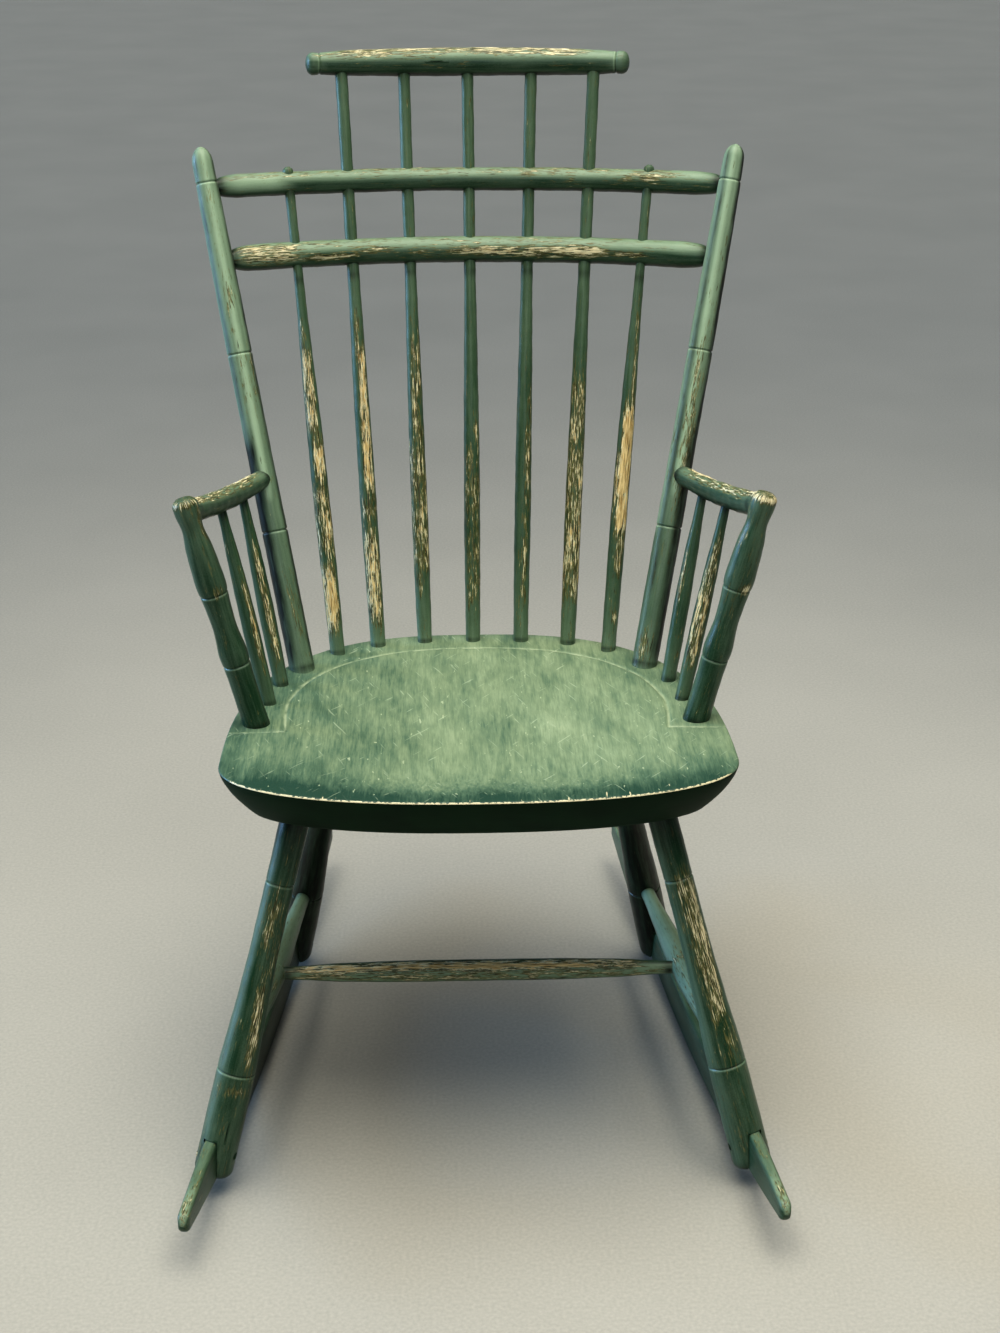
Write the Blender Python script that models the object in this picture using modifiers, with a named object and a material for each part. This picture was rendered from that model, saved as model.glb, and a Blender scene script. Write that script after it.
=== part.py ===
"""Spindle-back Windsor rocking armchair with a comb, in old green paint.

Metres, +Z up. The sitter faces -Y. The floor is z = 0, and the middle of the rockers is x = y = 0.
Everything above the legs is laid out in seat coordinates: across, back from the front edge of the
seat, and up from its flat top. The seat falls a little towards the back.
"""
import math

import bmesh
import bpy
from mathutils import Matrix, Vector

CLEARANCE = 0.0003              # gap round every tenon and in every slot

# Seat plank
SEAT_FRONT_Y = -0.243           # front edge of the seat, from the middle of the rockers
SEAT_FRONT_HEIGHT = 0.415       # its top at the front edge, over the floor
SEAT_TILT = math.radians(2.5)   # fall towards the back
SEAT_HALF_WIDTH = 0.2415
SEAT_FRONT_REACH = 0.0915       # from the widest line to the front edge
SEAT_BACK_REACH = 0.3255        # from the widest line to the back edge
SEAT_FRONT_SQUARENESS = 2.36    # 2 is an ellipse, more is squarer
SEAT_BACK_SQUARENESS = 2.68
SEAT_THICKNESS = 0.045
SEAT_UNDERCUT = 0.030           # how far the bevel carries the underside in, at the front
SEAT_BACK_UNDERCUT = 0.016      # and round the back, where the sticks stand near the edge
SEAT_DISH = 0.012               # depth of the saddle
SPINDLE_PLATFORM = 0.040        # flat band left round the back for the sticks
FRONT_RIM = 0.008               # flat band left along the front edge
STICK_SOCKET = 0.026            # depth of the sticks in the seat

# Back posts
POST_FOOT_X = 0.1775
POST_SETBACK = 0.0265           # foot centre in front of the seat's back edge
POST_SPLAY = math.radians(10.4)
POST_RAKE = math.radians(15.7)
POST_FOOT_RADIUS = 0.0132
POST_RADIUS = 0.0124
POST_TOP_RADIUS = 0.0105
POST_NOSE = 0.0150              # length of the rounded top
POST_LOWER_RINGS = (0.134, 0.307)   # heights above the seat
POST_TOP_RING = 0.007           # above the middle of the upper rail
POST_OVER_RAIL = 0.038          # top of the post above the middle of the upper rail

# Bent rails between the posts
LOWER_RAIL_HEIGHT = 0.398       # above the seat
RAIL_SPACING = 0.071
UPPER_RAIL_HEIGHT = LOWER_RAIL_HEIGHT + RAIL_SPACING
RAIL_BOW = 0.057                # how far the upper rail bends back in the middle
LOWER_RAIL_RADIUS = 0.0133
UPPER_RAIL_RADIUS = 0.0118
RAIL_END_RADIUS = 0.0078
RAIL_SHOULDER = 0.027           # over this length each end rounds down to its tenon
RAIL_TENON_PAST = 0.003         # the tenon's end, past the axis of the post

# Comb
CREST_OVER_RAIL = 0.113         # above the upper rail
CREST_HEIGHT = UPPER_RAIL_HEIGHT + CREST_OVER_RAIL
CREST_HALF_LENGTH = 0.164
CREST_RADIUS = 0.0142
CREST_END_RADIUS = 0.0112
CREST_NECK = 0.013              # from the end of the comb to its ring
SPINDLE_IN_CREST = 0.004        # end of a long spindle above the middle of the comb

# Back spindles, from the middle outwards
SPINDLE_FOOT_X = (0.0, 0.0512, 0.101, 0.143)
SPINDLE_RAIL_X = (0.0, 0.0628, 0.1240, 0.1840)
SPINDLE_SETBACK = 0.0160        # foot centre in front of the seat's back edge
SPINDLE_FOOT_RADIUS = 0.0078
SPINDLE_SWELL_RADIUS = 0.0086
SPINDLE_RAIL_RADIUS = 0.0061
SPINDLE_TOP_RADIUS = 0.0055
SHORT_SPINDLE_RADIUS = 0.0048   # the outer pair, in the rails
SHORT_SPINDLE_TIP = 0.0010      # how far the outer pair stands out of the upper rail

# Arms and what carries them
ARM_POST_FOOT = (0.2135, 0.184)
ARM_POST_HEAD = (0.2665, 0.177)
ARM_FRONT_HEIGHT = 0.217
ARM_REAR_HEIGHT = 0.189
ARM_BOW = 0.004                 # outward bend in plan
ARM_SAG = 0.006                 # dip of the middle
ARM_RADIUS = 0.0112
ARM_REAR_RADIUS = 0.0098
ARM_TENON_RADIUS = 0.0060
ARM_TENON_PAST = 0.002
ARM_POST_FOOT_RADIUS = 0.0128
ARM_POST_LOW_SWELL_RADIUS = 0.0139
ARM_POST_SWELL_RADIUS = 0.0144
ARM_POST_WAIST_RADIUS = 0.0116
ARM_POST_NECK_RADIUS = 0.0102
ARM_POST_TOP_RADIUS = 0.0122
ARM_POST_OVER_ARM = 0.0125      # top of the arm post above the arm's middle line
ARM_POST_RINGS = (0.066, 0.140)
ARM_SPINDLE_FEET = ((0.2055, 0.233), (0.1970, 0.282))
ARM_SPINDLE_SHARES = (0.43, 0.71)  # along the arm, from the arm post to the back post
ARM_SPINDLE_FOOT_RADIUS = 0.0074
ARM_SPINDLE_SWELL_RADIUS = 0.0079
ARM_SPINDLE_TOP_RADIUS = 0.0046

# Rockers
ROCKER_OVERHANG = 0.1180        # from the front foot to the tip, and as far from the middle at the tail
ROCKER_SWEEP = 1.60             # radius of the runner's lower edge
ROCKER_SOLE = 0.060             # worn flat at the balance point
ROCKER_DEPTH = 0.041
ROCKER_TIP_DEPTH = 0.018
ROCKER_THICKNESS = 0.0130
ROCKER_MID_X = 0.2255
ROCKER_TOE = math.radians(7.6)  # the runners close towards the back

# Legs
FRONT_FOOT_Y = -0.2475          # from the middle of the rockers
REAR_FOOT_Y = 0.1490
FRONT_LEG_SOCKET = (0.1690, 0.0835)
REAR_LEG_SETBACK = 0.0840       # in front of the seat's back edge
REAR_LEG_SOCKET = (0.1380, SEAT_FRONT_REACH + SEAT_BACK_REACH - REAR_LEG_SETBACK)
LEG_SOCKET = 0.027              # depth of the leg in the seat
FOOT_OVER_SOLE = 0.004          # end of the leg above the runner's lower edge
LEG_TOP_RADIUS = 0.0140
LEG_TENON_RADIUS = 0.0115
LEG_UPPER_RING_RADIUS = 0.0138
LEG_WAIST_RADIUS = 0.0142
LEG_LOWER_RING_RADIUS = 0.0184
LEG_FOOT_RADIUS = 0.0186
LEG_UPPER_RING = 0.072          # down the leg from the underside of the seat
LEG_LOWER_RING = 0.262

# Stretchers
STRETCHER_END_RADIUS = 0.0078
STRETCHER_SWELL_RADIUS = 0.0138
STRETCHER_TENON_PAST = 0.003
CROSS_STRETCHER_RADIUS = 0.0112
CROSS_STRETCHER_END_RADIUS = 0.0068
CROSS_TENON_SHY = 0.003         # its ends stop short of the side stretchers' axes

# Pins through the feet
PIN_RADIUS = 0.0035
PIN_LENGTH = 0.0320

# Bamboo rings
RING_HALF_WIDTH = 0.0022
RING_DEPTH = 0.0011

STICK_SIDES = 14
POST_SIDES = 16
PIN_SIDES = 10
RAIL_BEVEL = 5                  # gives rails of 14 sides
SEAT_STEPS = 56                 # points round the seat
RAIL_STEPS = 16                 # points along a rail
ARM_STEPS = 6
SOLE_STEPS = 10                 # points along each half of a runner's edge
NOSE_STEPS = 5                  # points round a runner's nose
CUTTER_REACH = 0.02             # how far a tenon runs back into the body of an arm

SIDES = (("left", -1), ("right", 1))

for leftover in list(bpy.data.objects):
    bpy.data.objects.remove(leftover, do_unlink=True)

chair_parts = bpy.data.collections.new("windsor_rocking_chair")
chair_cutters = bpy.data.collections.new("cutters")
bpy.context.scene.collection.children.link(chair_parts)
bpy.context.scene.collection.children.link(chair_cutters)


def linear(channel):
    """One sRGB channel, 0 to 255, as linear light."""
    value = channel / 255
    return value / 12.92 if value <= 0.04045 else ((value + 0.055) / 1.055) ** 2.4


def paint(name, red, green, blue, roughness):
    material = bpy.data.materials.new(name + "_finish")
    material.use_nodes = True
    shader = material.node_tree.nodes["Principled BSDF"]
    shader.inputs["Base Color"].default_value = (linear(red), linear(green), linear(blue), 1.0)
    shader.inputs["Roughness"].default_value = roughness
    shader.inputs["Metallic"].default_value = 0.0
    return material


def dark_green(name):
    return paint(name, 38, 62, 50, 0.45)


def seat_green(name):
    return paint(name, 92, 124, 92, 0.6)


def worn_green(name):
    return paint(name, 84, 92, 62, 0.55)


def bare_wood(name):
    return paint(name, 178, 140, 92, 0.6)


def place(name, mesh, finish):
    """Make a piece of the chair, or a cutter where there is no finish."""
    piece = bpy.data.objects.new(name, mesh)
    if finish:
        mesh.materials.append(finish(name))
        mesh.shade_smooth()
        mesh.set_sharp_from_angle(angle=math.radians(35))
        chair_parts.objects.link(piece)
    else:
        piece.hide_render = True
        piece.display_type = "WIRE"
        chair_cutters.objects.link(piece)
    return piece


def boolean(piece, operation, *others):
    for other in others:
        modifier = piece.modifiers.new(operation.lower() + "_" + other.name, "BOOLEAN")
        modifier.operation = operation
        modifier.object = other


def cut(piece, *cutters):
    boolean(piece, "DIFFERENCE", *cutters)


def on_seat(across, back, up):
    """World point from seat coordinates."""
    y = back * math.cos(SEAT_TILT) + up * math.sin(SEAT_TILT)
    z = up * math.cos(SEAT_TILT) - back * math.sin(SEAT_TILT)
    return Vector((across, SEAT_FRONT_Y + y, SEAT_FRONT_HEIGHT + z))


def turned(name, foot, top, profile, sides, finish=None):
    """A lathe turning from foot to top. The profile lists (distance from the foot, radius)."""
    axis = top - foot
    outline = [Vector((0, 0, profile[-1][0]))]
    outline += [Vector((radius, 0, distance)) for distance, radius in reversed(profile)]
    outline.append(Vector((0, 0, profile[0][0])))
    mesh = bpy.data.meshes.new(name)
    mesh.from_pydata(outline, [(i, i + 1) for i in range(len(outline) - 1)], [])
    piece = place(name, mesh, finish)
    piece.matrix_world = Matrix.Translation(foot) @ axis.to_track_quat("Z", "Y").to_matrix().to_4x4()
    lathe = piece.modifiers.new("lathe", "SCREW")
    lathe.axis = "Z"
    lathe.steps = sides
    lathe.render_steps = sides
    lathe.use_merge_vertices = True
    lathe.merge_threshold = 0.00001
    lathe.use_smooth_shade = True
    return piece


def stick(name, foot, top, profile, sides, finish):
    """A turning, and the slightly larger cutter that makes room for it."""
    grown = [(distance, radius + CLEARANCE) for distance, radius in profile]
    grown[0] = (grown[0][0] - CLEARANCE, grown[0][1])
    grown[-1] = (grown[-1][0] + CLEARANCE, grown[-1][1])
    return (turned(name, foot, top, profile, sides, finish),
            turned(name + "_socket", foot, top, grown, sides))


def with_rings(profile, rings):
    """The profile with a narrow groove cut round it at each ring."""
    stations = list(profile)
    for ring in rings:
        below = max(station for station in profile if station[0] < ring)
        above = min(station for station in profile if station[0] > ring)
        share = (ring - below[0]) / (above[0] - below[0])
        radius = below[1] + (above[1] - below[1]) * share
        stations += [(ring - RING_HALF_WIDTH, radius), (ring, radius - RING_DEPTH),
                     (ring + RING_HALF_WIDTH, radius)]
    return sorted(stations)


def rod(name, points, radii, finish=None):
    """A bent rod through the points, round in section, as a welded mesh."""
    thickest = max(radii)
    curve = bpy.data.curves.new(name, "CURVE")
    curve.dimensions = "3D"
    curve.bevel_depth = thickest
    curve.bevel_resolution = RAIL_BEVEL
    curve.use_fill_caps = True
    spline = curve.splines.new("POLY")
    spline.points.add(len(points) - 1)
    for knot, point, radius in zip(spline.points, points, radii):
        knot.co = (*point, 1.0)
        knot.radius = radius / thickest
    bent = bpy.data.objects.new(name + "_path", curve)
    bpy.context.scene.collection.objects.link(bent)
    bpy.context.view_layer.update()
    evaluated = bent.evaluated_get(bpy.context.evaluated_depsgraph_get())
    mesh = bpy.data.meshes.new_from_object(evaluated)
    bpy.data.objects.remove(bent, do_unlink=True)
    weld = bmesh.new()
    weld.from_mesh(mesh)
    bmesh.ops.remove_doubles(weld, verts=weld.verts, dist=0.00001)
    bmesh.ops.recalc_face_normals(weld, faces=weld.faces)
    weld.to_mesh(mesh)
    weld.free()
    mesh.name = name
    mesh.materials.clear()
    return place(name, mesh, finish)


def length_to(foot, top, part):
    """Distance from the foot along a stick that reaches the top at part = 1."""
    return (top - foot).length * part


# Seat plank

def seat_edge(turn):
    """Point of the seat's outline in plan (across, back), for a turn in radians from the right side."""
    squareness = SEAT_BACK_SQUARENESS if math.sin(turn) > 0 else SEAT_FRONT_SQUARENESS
    reach = SEAT_BACK_REACH if math.sin(turn) > 0 else SEAT_FRONT_REACH
    across = math.copysign(abs(math.cos(turn)) ** (2 / squareness), math.cos(turn)) * SEAT_HALF_WIDTH
    back = math.copysign(abs(math.sin(turn)) ** (2 / squareness), math.sin(turn)) * reach
    return Vector((across, SEAT_FRONT_REACH + back))


def seat_back_at(across):
    """How far back the seat's rear edge lies at a place across the seat."""
    rest = 1 - abs(across / SEAT_HALF_WIDTH) ** SEAT_BACK_SQUARENESS
    return SEAT_FRONT_REACH + SEAT_BACK_REACH * rest ** (1 / SEAT_BACK_SQUARENESS)


def front_to_back(turn, front, back):
    """A value that passes smoothly from its front to its back setting along the sides of the seat."""
    blend = min(max((math.sin(turn) + 0.3) / 0.8, 0.0), 1.0)
    return front + (back - front) * blend * blend * (3 - 2 * blend)


def seat_dish(share, turn):
    """Depth of the saddle on a ring at a share of the way from the middle to the edge."""
    back_rim = 1 - SPINDLE_PLATFORM / SEAT_BACK_REACH
    front_rim = 1 - FRONT_RIM / SEAT_FRONT_REACH
    rim = front_to_back(turn, front_rim, back_rim)
    return -SEAT_DISH * (1 - min(share / rim, 1.0) ** 2) ** 2


def seat_plank():
    turns = [math.tau * i / SEAT_STEPS for i in range(SEAT_STEPS)]
    edge = [seat_edge(turn) for turn in turns]
    inward = []
    for before, after in zip(edge[-1:] + edge[:-1], edge[1:] + edge[:1]):
        along = (after - before).normalized()
        inward.append(Vector((-along.y, along.x)))
    bevel_steps = (1.0, 0.75, 0.5, 0.25)
    rings = []
    for step in bevel_steps:
        ring = []
        for point, normal, turn in zip(edge, inward, turns):
            undercut = front_to_back(turn, SEAT_UNDERCUT, SEAT_BACK_UNDERCUT)
            ring.append(point + normal * undercut * step ** 1.5)
        rings.append([(point.x, point.y, -SEAT_THICKNESS * step) for point in ring])
    middle = Vector((0, SEAT_FRONT_REACH))
    for share in (1.0, 0.94, 0.86, 0.74, 0.6, 0.45, 0.3, 0.15):
        ring = [middle + (point - middle) * share for point in edge]
        rings.append([(point.x, point.y, seat_dish(share, turn)) for point, turn in zip(ring, turns)])
    form = bmesh.new()
    loops = [[form.verts.new(point) for point in ring] for ring in rings]
    for lower, upper in zip(loops, loops[1:]):
        for i in range(SEAT_STEPS):
            j = (i + 1) % SEAT_STEPS
            form.faces.new((lower[i], lower[j], upper[j], upper[i]))
    form.faces.new(list(reversed(loops[0])))
    hollow = form.verts.new((0, SEAT_FRONT_REACH, -SEAT_DISH))
    for i in range(SEAT_STEPS):
        form.faces.new((loops[-1][i], loops[-1][(i + 1) % SEAT_STEPS], hollow))
    mesh = bpy.data.meshes.new("seat")
    form.to_mesh(mesh)
    form.free()
    plank = place("seat", mesh, seat_green)
    plank.matrix_world = (Matrix.Translation((0, SEAT_FRONT_Y, SEAT_FRONT_HEIGHT))
                          @ Matrix.Rotation(-SEAT_TILT, 4, "X"))
    return plank


seat = seat_plank()


# Back posts

def post_at(side, up):
    """Point on a back post's axis at a height above the seat, in seat coordinates."""
    back = seat_back_at(POST_FOOT_X) - POST_SETBACK
    return (side * (POST_FOOT_X + up * math.tan(POST_SPLAY)), back + up * math.tan(POST_RAKE), up)


post_slope = math.hypot(1.0, math.tan(POST_SPLAY), math.tan(POST_RAKE))
posts = {}
for label, side in SIDES:
    foot = on_seat(*post_at(side, -STICK_SOCKET / post_slope))
    top = on_seat(*post_at(side, UPPER_RAIL_HEIGHT + POST_OVER_RAIL))
    seat_line = STICK_SOCKET
    tip = length_to(foot, top, 1.0)
    ring_heights = POST_LOWER_RINGS + (UPPER_RAIL_HEIGHT + POST_TOP_RING,)
    rings = [seat_line + height * post_slope for height in ring_heights]
    profile = [
        (0.0, POST_FOOT_RADIUS), (seat_line, POST_FOOT_RADIUS),
        (seat_line + LOWER_RAIL_HEIGHT * post_slope, POST_RADIUS),
        (rings[-1] - 2 * RING_HALF_WIDTH, (POST_RADIUS + POST_TOP_RADIUS) / 2),
        (tip - POST_NOSE, POST_TOP_RADIUS), (tip - 0.6 * POST_NOSE, 0.91 * POST_TOP_RADIUS),
        (tip - 0.25 * POST_NOSE, 0.65 * POST_TOP_RADIUS), (tip, 0.28 * POST_TOP_RADIUS),
    ]
    profile = with_rings(profile, rings)
    posts[side] = stick("back_post_" + label, foot, top, profile, POST_SIDES, dark_green)
    cut(seat, posts[side][1])


# Bent rails

def bent_back(across, half_span, bow):
    """How far a circular bow of the given half span carries a point back from the bow's ends."""
    if bow <= 0:
        return 0.0
    sweep = (half_span ** 2 + bow ** 2) / (2 * bow)
    return bow - sweep + math.sqrt(sweep ** 2 - across ** 2)


def spindle_at(across_foot, across_rail, up):
    """Point on a back spindle's axis at a height above the seat, in seat coordinates."""
    end_x, end_back, end_up = post_at(1.0, UPPER_RAIL_HEIGHT)
    foot_back = seat_back_at(across_foot) - SPINDLE_SETBACK
    rail_back = end_back + bent_back(across_rail, end_x, RAIL_BOW)
    share = up / UPPER_RAIL_HEIGHT
    across = across_foot + (across_rail - across_foot) * share
    return (across, foot_back + (rail_back - foot_back) * share, up)


def back_rail(name, height, middle_radius):
    """A bent rail with its tapered ends let into the posts."""
    end_x, end_back, _ = post_at(1.0, height)
    bow = spindle_at(0.0, 0.0, height)[1] - end_back
    points, radii, grown = [], [], []
    half_span = end_x + RAIL_TENON_PAST
    tenon = POST_RADIUS + RAIL_TENON_PAST
    places = [half_span - tenon * i / 2 for i in range(2)]
    inner = half_span - tenon
    places += [inner - RAIL_SHOULDER * share for share in (0.0, 0.12, 0.35, 0.65)]
    clear = inner - RAIL_SHOULDER
    places += [clear * (1 - 2 * i / RAIL_STEPS) for i in range(RAIL_STEPS // 2 + 1)]
    places += [-place_x for place_x in reversed(places[:-1])]
    for across in places:
        points.append(on_seat(across, end_back + bent_back(across, end_x, bow), height))
        short = 1 - min(max((inner - abs(across)) / RAIL_SHOULDER, 0.0), 1.0)
        radii.append(RAIL_END_RADIUS + (middle_radius - RAIL_END_RADIUS) * math.sqrt(1 - short ** 2))
    rail = rod(name, points, radii, dark_green)
    points[0] += (points[0] - points[1]).normalized() * CLEARANCE
    points[-1] += (points[-1] - points[-2]).normalized() * CLEARANCE
    grown = [radius + CLEARANCE for radius in radii]
    socket = rod(name + "_socket", points, grown)
    for post, _ in posts.values():
        cut(post, socket)
    return rail


lower_rail = back_rail("lower_back_rail", LOWER_RAIL_HEIGHT, LOWER_RAIL_RADIUS)
upper_rail = back_rail("upper_back_rail", UPPER_RAIL_HEIGHT, UPPER_RAIL_RADIUS)


# Comb

def crest_rail():
    end_x, end_back, _ = post_at(1.0, UPPER_RAIL_HEIGHT)
    middle_back = spindle_at(0.0, 0.0, CREST_HEIGHT)[1]
    stations = [(CREST_HALF_LENGTH, 0.45 * CREST_END_RADIUS),
                (CREST_HALF_LENGTH - 0.25 * CREST_END_RADIUS, 0.85 * CREST_END_RADIUS),
                (CREST_HALF_LENGTH - 0.6 * CREST_END_RADIUS, CREST_END_RADIUS)]
    neck = CREST_HALF_LENGTH - CREST_NECK
    stations += [(neck + RING_HALF_WIDTH, CREST_END_RADIUS), (neck, CREST_END_RADIUS - RING_DEPTH),
                 (neck - RING_HALF_WIDTH, CREST_END_RADIUS)]
    inner = neck - 2 * RING_HALF_WIDTH
    for i in range(RAIL_STEPS // 2):
        share = 1 - 2 * i / RAIL_STEPS
        radius = CREST_END_RADIUS + (CREST_RADIUS - CREST_END_RADIUS) * math.sqrt(1 - share ** 2)
        stations.append((inner * share, radius))
    stations.append((0.0, CREST_RADIUS))
    stations += [(-across, radius) for across, radius in reversed(stations[:-1])]
    points = []
    for across, _ in stations:
        behind = bent_back(across, end_x, RAIL_BOW) - RAIL_BOW
        points.append(on_seat(across, middle_back + behind, CREST_HEIGHT))
    return rod("crest_rail", points, [radius for _, radius in stations], dark_green)


crest = crest_rail()


# Back spindles

def back_spindle(number, side, place_out):
    across_foot = side * SPINDLE_FOOT_X[place_out]
    across_rail = side * SPINDLE_RAIL_X[place_out]
    is_short = place_out == len(SPINDLE_FOOT_X) - 1
    tip_height = CREST_HEIGHT + SPINDLE_IN_CREST
    rail_radius, top_radius = SPINDLE_RAIL_RADIUS, SPINDLE_TOP_RADIUS
    if is_short:
        tip_height = UPPER_RAIL_HEIGHT + UPPER_RAIL_RADIUS + SHORT_SPINDLE_TIP
        rail_radius, top_radius = SHORT_SPINDLE_RADIUS, SHORT_SPINDLE_RADIUS
    top = on_seat(*spindle_at(across_foot, across_rail, tip_height))
    seat_point = on_seat(*spindle_at(across_foot, across_rail, 0.0))
    slope = (top - seat_point).length / tip_height
    foot = on_seat(*spindle_at(across_foot, across_rail, -STICK_SOCKET / slope))
    under_rail = STICK_SOCKET + (LOWER_RAIL_HEIGHT - 2 * LOWER_RAIL_RADIUS) * slope
    tip = length_to(foot, top, 1.0)
    profile = [
        (0.0, SPINDLE_FOOT_RADIUS), (STICK_SOCKET, SPINDLE_FOOT_RADIUS),
        (STICK_SOCKET + 0.32 * (under_rail - STICK_SOCKET), SPINDLE_SWELL_RADIUS),
        (STICK_SOCKET + 0.55 * (under_rail - STICK_SOCKET), 0.95 * SPINDLE_SWELL_RADIUS),
        (under_rail, rail_radius), (tip - top_radius / 2, top_radius), (tip, 0.7 * top_radius),
    ]
    spindle, socket = stick(f"back_spindle_{number}", foot, top, profile, STICK_SIDES, worn_green)
    receivers = [seat, lower_rail, upper_rail]
    if not is_short:
        receivers.append(crest)
    for receiver in receivers:
        cut(receiver, socket)


outermost = len(SPINDLE_FOOT_X) - 1
for index in range(2 * outermost + 1):
    offset = index - outermost
    back_spindle(index + 1, math.copysign(1.0, offset), abs(offset))


# Arms, arm posts and arm spindles

def arm_line(side, share):
    """Point on an arm's middle line, from the arm post at 0 to the back post at 1."""
    front = Vector((side * ARM_POST_HEAD[0], ARM_POST_HEAD[1], ARM_FRONT_HEIGHT))
    rear = Vector(post_at(side, ARM_REAR_HEIGHT))
    point = front.lerp(rear, share)
    point.x += side * ARM_BOW * 4 * share * (1 - share)
    point.z -= ARM_SAG * 4 * share * (1 - share)
    return on_seat(*point)


for label, side in SIDES:
    head = arm_line(side, 0.0)
    foot = on_seat(side * ARM_POST_FOOT[0], ARM_POST_FOOT[1], 0.0)
    direction = (head - foot).normalized()
    seat_line = STICK_SOCKET
    top = head + direction * ARM_POST_OVER_ARM
    foot -= direction * STICK_SOCKET
    tip = length_to(foot, top, 1.0)
    rings = [seat_line + ring for ring in ARM_POST_RINGS]
    profile = [
        (0.0, ARM_POST_FOOT_RADIUS), (seat_line, ARM_POST_FOOT_RADIUS),
        (rings[0] + 0.009, ARM_POST_LOW_SWELL_RADIUS), ((rings[0] + rings[1]) / 2, ARM_POST_WAIST_RADIUS),
        (rings[1] + 0.010, ARM_POST_SWELL_RADIUS), (0.6 * rings[1] + 0.4 * tip, ARM_POST_LOW_SWELL_RADIUS),
        (0.3 * rings[1] + 0.7 * tip, ARM_POST_NECK_RADIUS),
        (tip - ARM_POST_TOP_RADIUS, ARM_POST_TOP_RADIUS),
        (tip - 0.5 * ARM_POST_TOP_RADIUS, ARM_POST_TOP_RADIUS),
        (tip - 0.15 * ARM_POST_TOP_RADIUS, 0.88 * ARM_POST_TOP_RADIUS), (tip, 0.6 * ARM_POST_TOP_RADIUS),
    ]
    profile = with_rings(profile, rings)
    arm_post, arm_post_socket = stick("arm_post_" + label, foot, top, profile, POST_SIDES, dark_green)
    cut(seat, arm_post_socket)

    shares = [i / ARM_STEPS for i in range(ARM_STEPS + 1)]
    points = [arm_line(side, share) for share in shares]
    radii = [ARM_RADIUS + (ARM_REAR_RADIUS - ARM_RADIUS) * share ** 2 for share in shares]
    arm = rod("arm_" + label, points, radii, dark_green)
    back_post, back_post_socket = posts[side]
    cut(arm, arm_post_socket, back_post_socket)
    ends = (("front", arm_post, points[0], points[1]), ("rear", back_post, points[-1], points[-2]))
    for end_label, post, end_point, toward in ends:
        inward_direction = (toward - end_point).normalized()
        start = end_point - inward_direction * ARM_TENON_PAST
        stop = end_point + inward_direction * (POST_RADIUS + CUTTER_REACH)
        reach = (stop - start).length
        tenon_profile = [(0.0, ARM_TENON_RADIUS), (reach, ARM_TENON_RADIUS)]
        name = f"arm_{label}_{end_label}_tenon"
        boolean(arm, "UNION", turned(name, start, stop, tenon_profile, STICK_SIDES))
        grown_profile = [(-CLEARANCE, ARM_TENON_RADIUS + CLEARANCE), (reach, ARM_TENON_RADIUS + CLEARANCE)]
        cut(post, turned(name + "_socket", start, stop, grown_profile, STICK_SIDES))

    for end_label, plan, share in zip(("front", "rear"), ARM_SPINDLE_FEET, ARM_SPINDLE_SHARES):
        foot = on_seat(side * plan[0], plan[1], 0.0)
        top = arm_line(side, share)
        foot -= (top - foot).normalized() * STICK_SOCKET
        tip = length_to(foot, top, 1.0)
        profile = [
            (0.0, ARM_SPINDLE_FOOT_RADIUS), (STICK_SOCKET, ARM_SPINDLE_FOOT_RADIUS),
            (0.42 * tip, ARM_SPINDLE_SWELL_RADIUS), (0.72 * tip, 0.82 * ARM_SPINDLE_SWELL_RADIUS),
            (tip - 2 * ARM_RADIUS, ARM_SPINDLE_TOP_RADIUS), (tip, ARM_SPINDLE_TOP_RADIUS),
        ]
        name = f"arm_spindle_{end_label}_{label}"
        _, socket = stick(name, foot, top, profile, STICK_SIDES, worn_green)
        cut(seat, socket)
        cut(arm, socket)


# Rockers

def runner_reach():
    """Half the length of a runner."""
    return abs(FRONT_FOOT_Y) / math.cos(ROCKER_TOE) + ROCKER_OVERHANG


def runner_edge(along):
    """Height of the runner's lower edge over the floor, at a distance along it from its middle."""
    flat = ROCKER_SWEEP - math.sqrt(ROCKER_SWEEP ** 2 - (ROCKER_SOLE / 2) ** 2)
    return max(ROCKER_SWEEP - math.sqrt(ROCKER_SWEEP ** 2 - along ** 2) - flat, 0.0)


def runner_depth(along):
    """Depth of the runner: full over the middle, tapering beyond the feet to the tips."""
    full = abs(FRONT_FOOT_Y)
    out = max(abs(along) - full, 0.0) / (runner_reach() - full)
    return ROCKER_DEPTH + (ROCKER_TIP_DEPTH - ROCKER_DEPTH) * out ** 1.4


def runner_outline(grow):
    """The runner's side view: lower edge, rear nose, upper edge and front nose."""
    nose = ROCKER_TIP_DEPTH / 2
    reach = runner_reach() - nose
    half = [ROCKER_SOLE / 2 + (reach - ROCKER_SOLE / 2) * i / SOLE_STEPS for i in range(SOLE_STEPS + 1)]
    stations = [-along for along in reversed(half)] + half
    lower = [(along, runner_edge(along) - grow) for along in stations]
    upper = [(along, runner_edge(along) + runner_depth(along) + grow) for along in reversed(stations)]
    rear, front = [], []
    for i in range(1, NOSE_STEPS):
        turn = math.pi * i / NOSE_STEPS
        middle = (lower[-1][1] + upper[0][1]) / 2
        swing = (upper[0][1] - lower[-1][1]) / 2
        rear.append((reach + (nose + grow) * math.sin(turn), middle - swing * math.cos(turn)))
        front.append((-reach - (nose + grow) * math.sin(turn), middle + swing * math.cos(turn)))
    return lower + rear + upper + front


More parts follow.
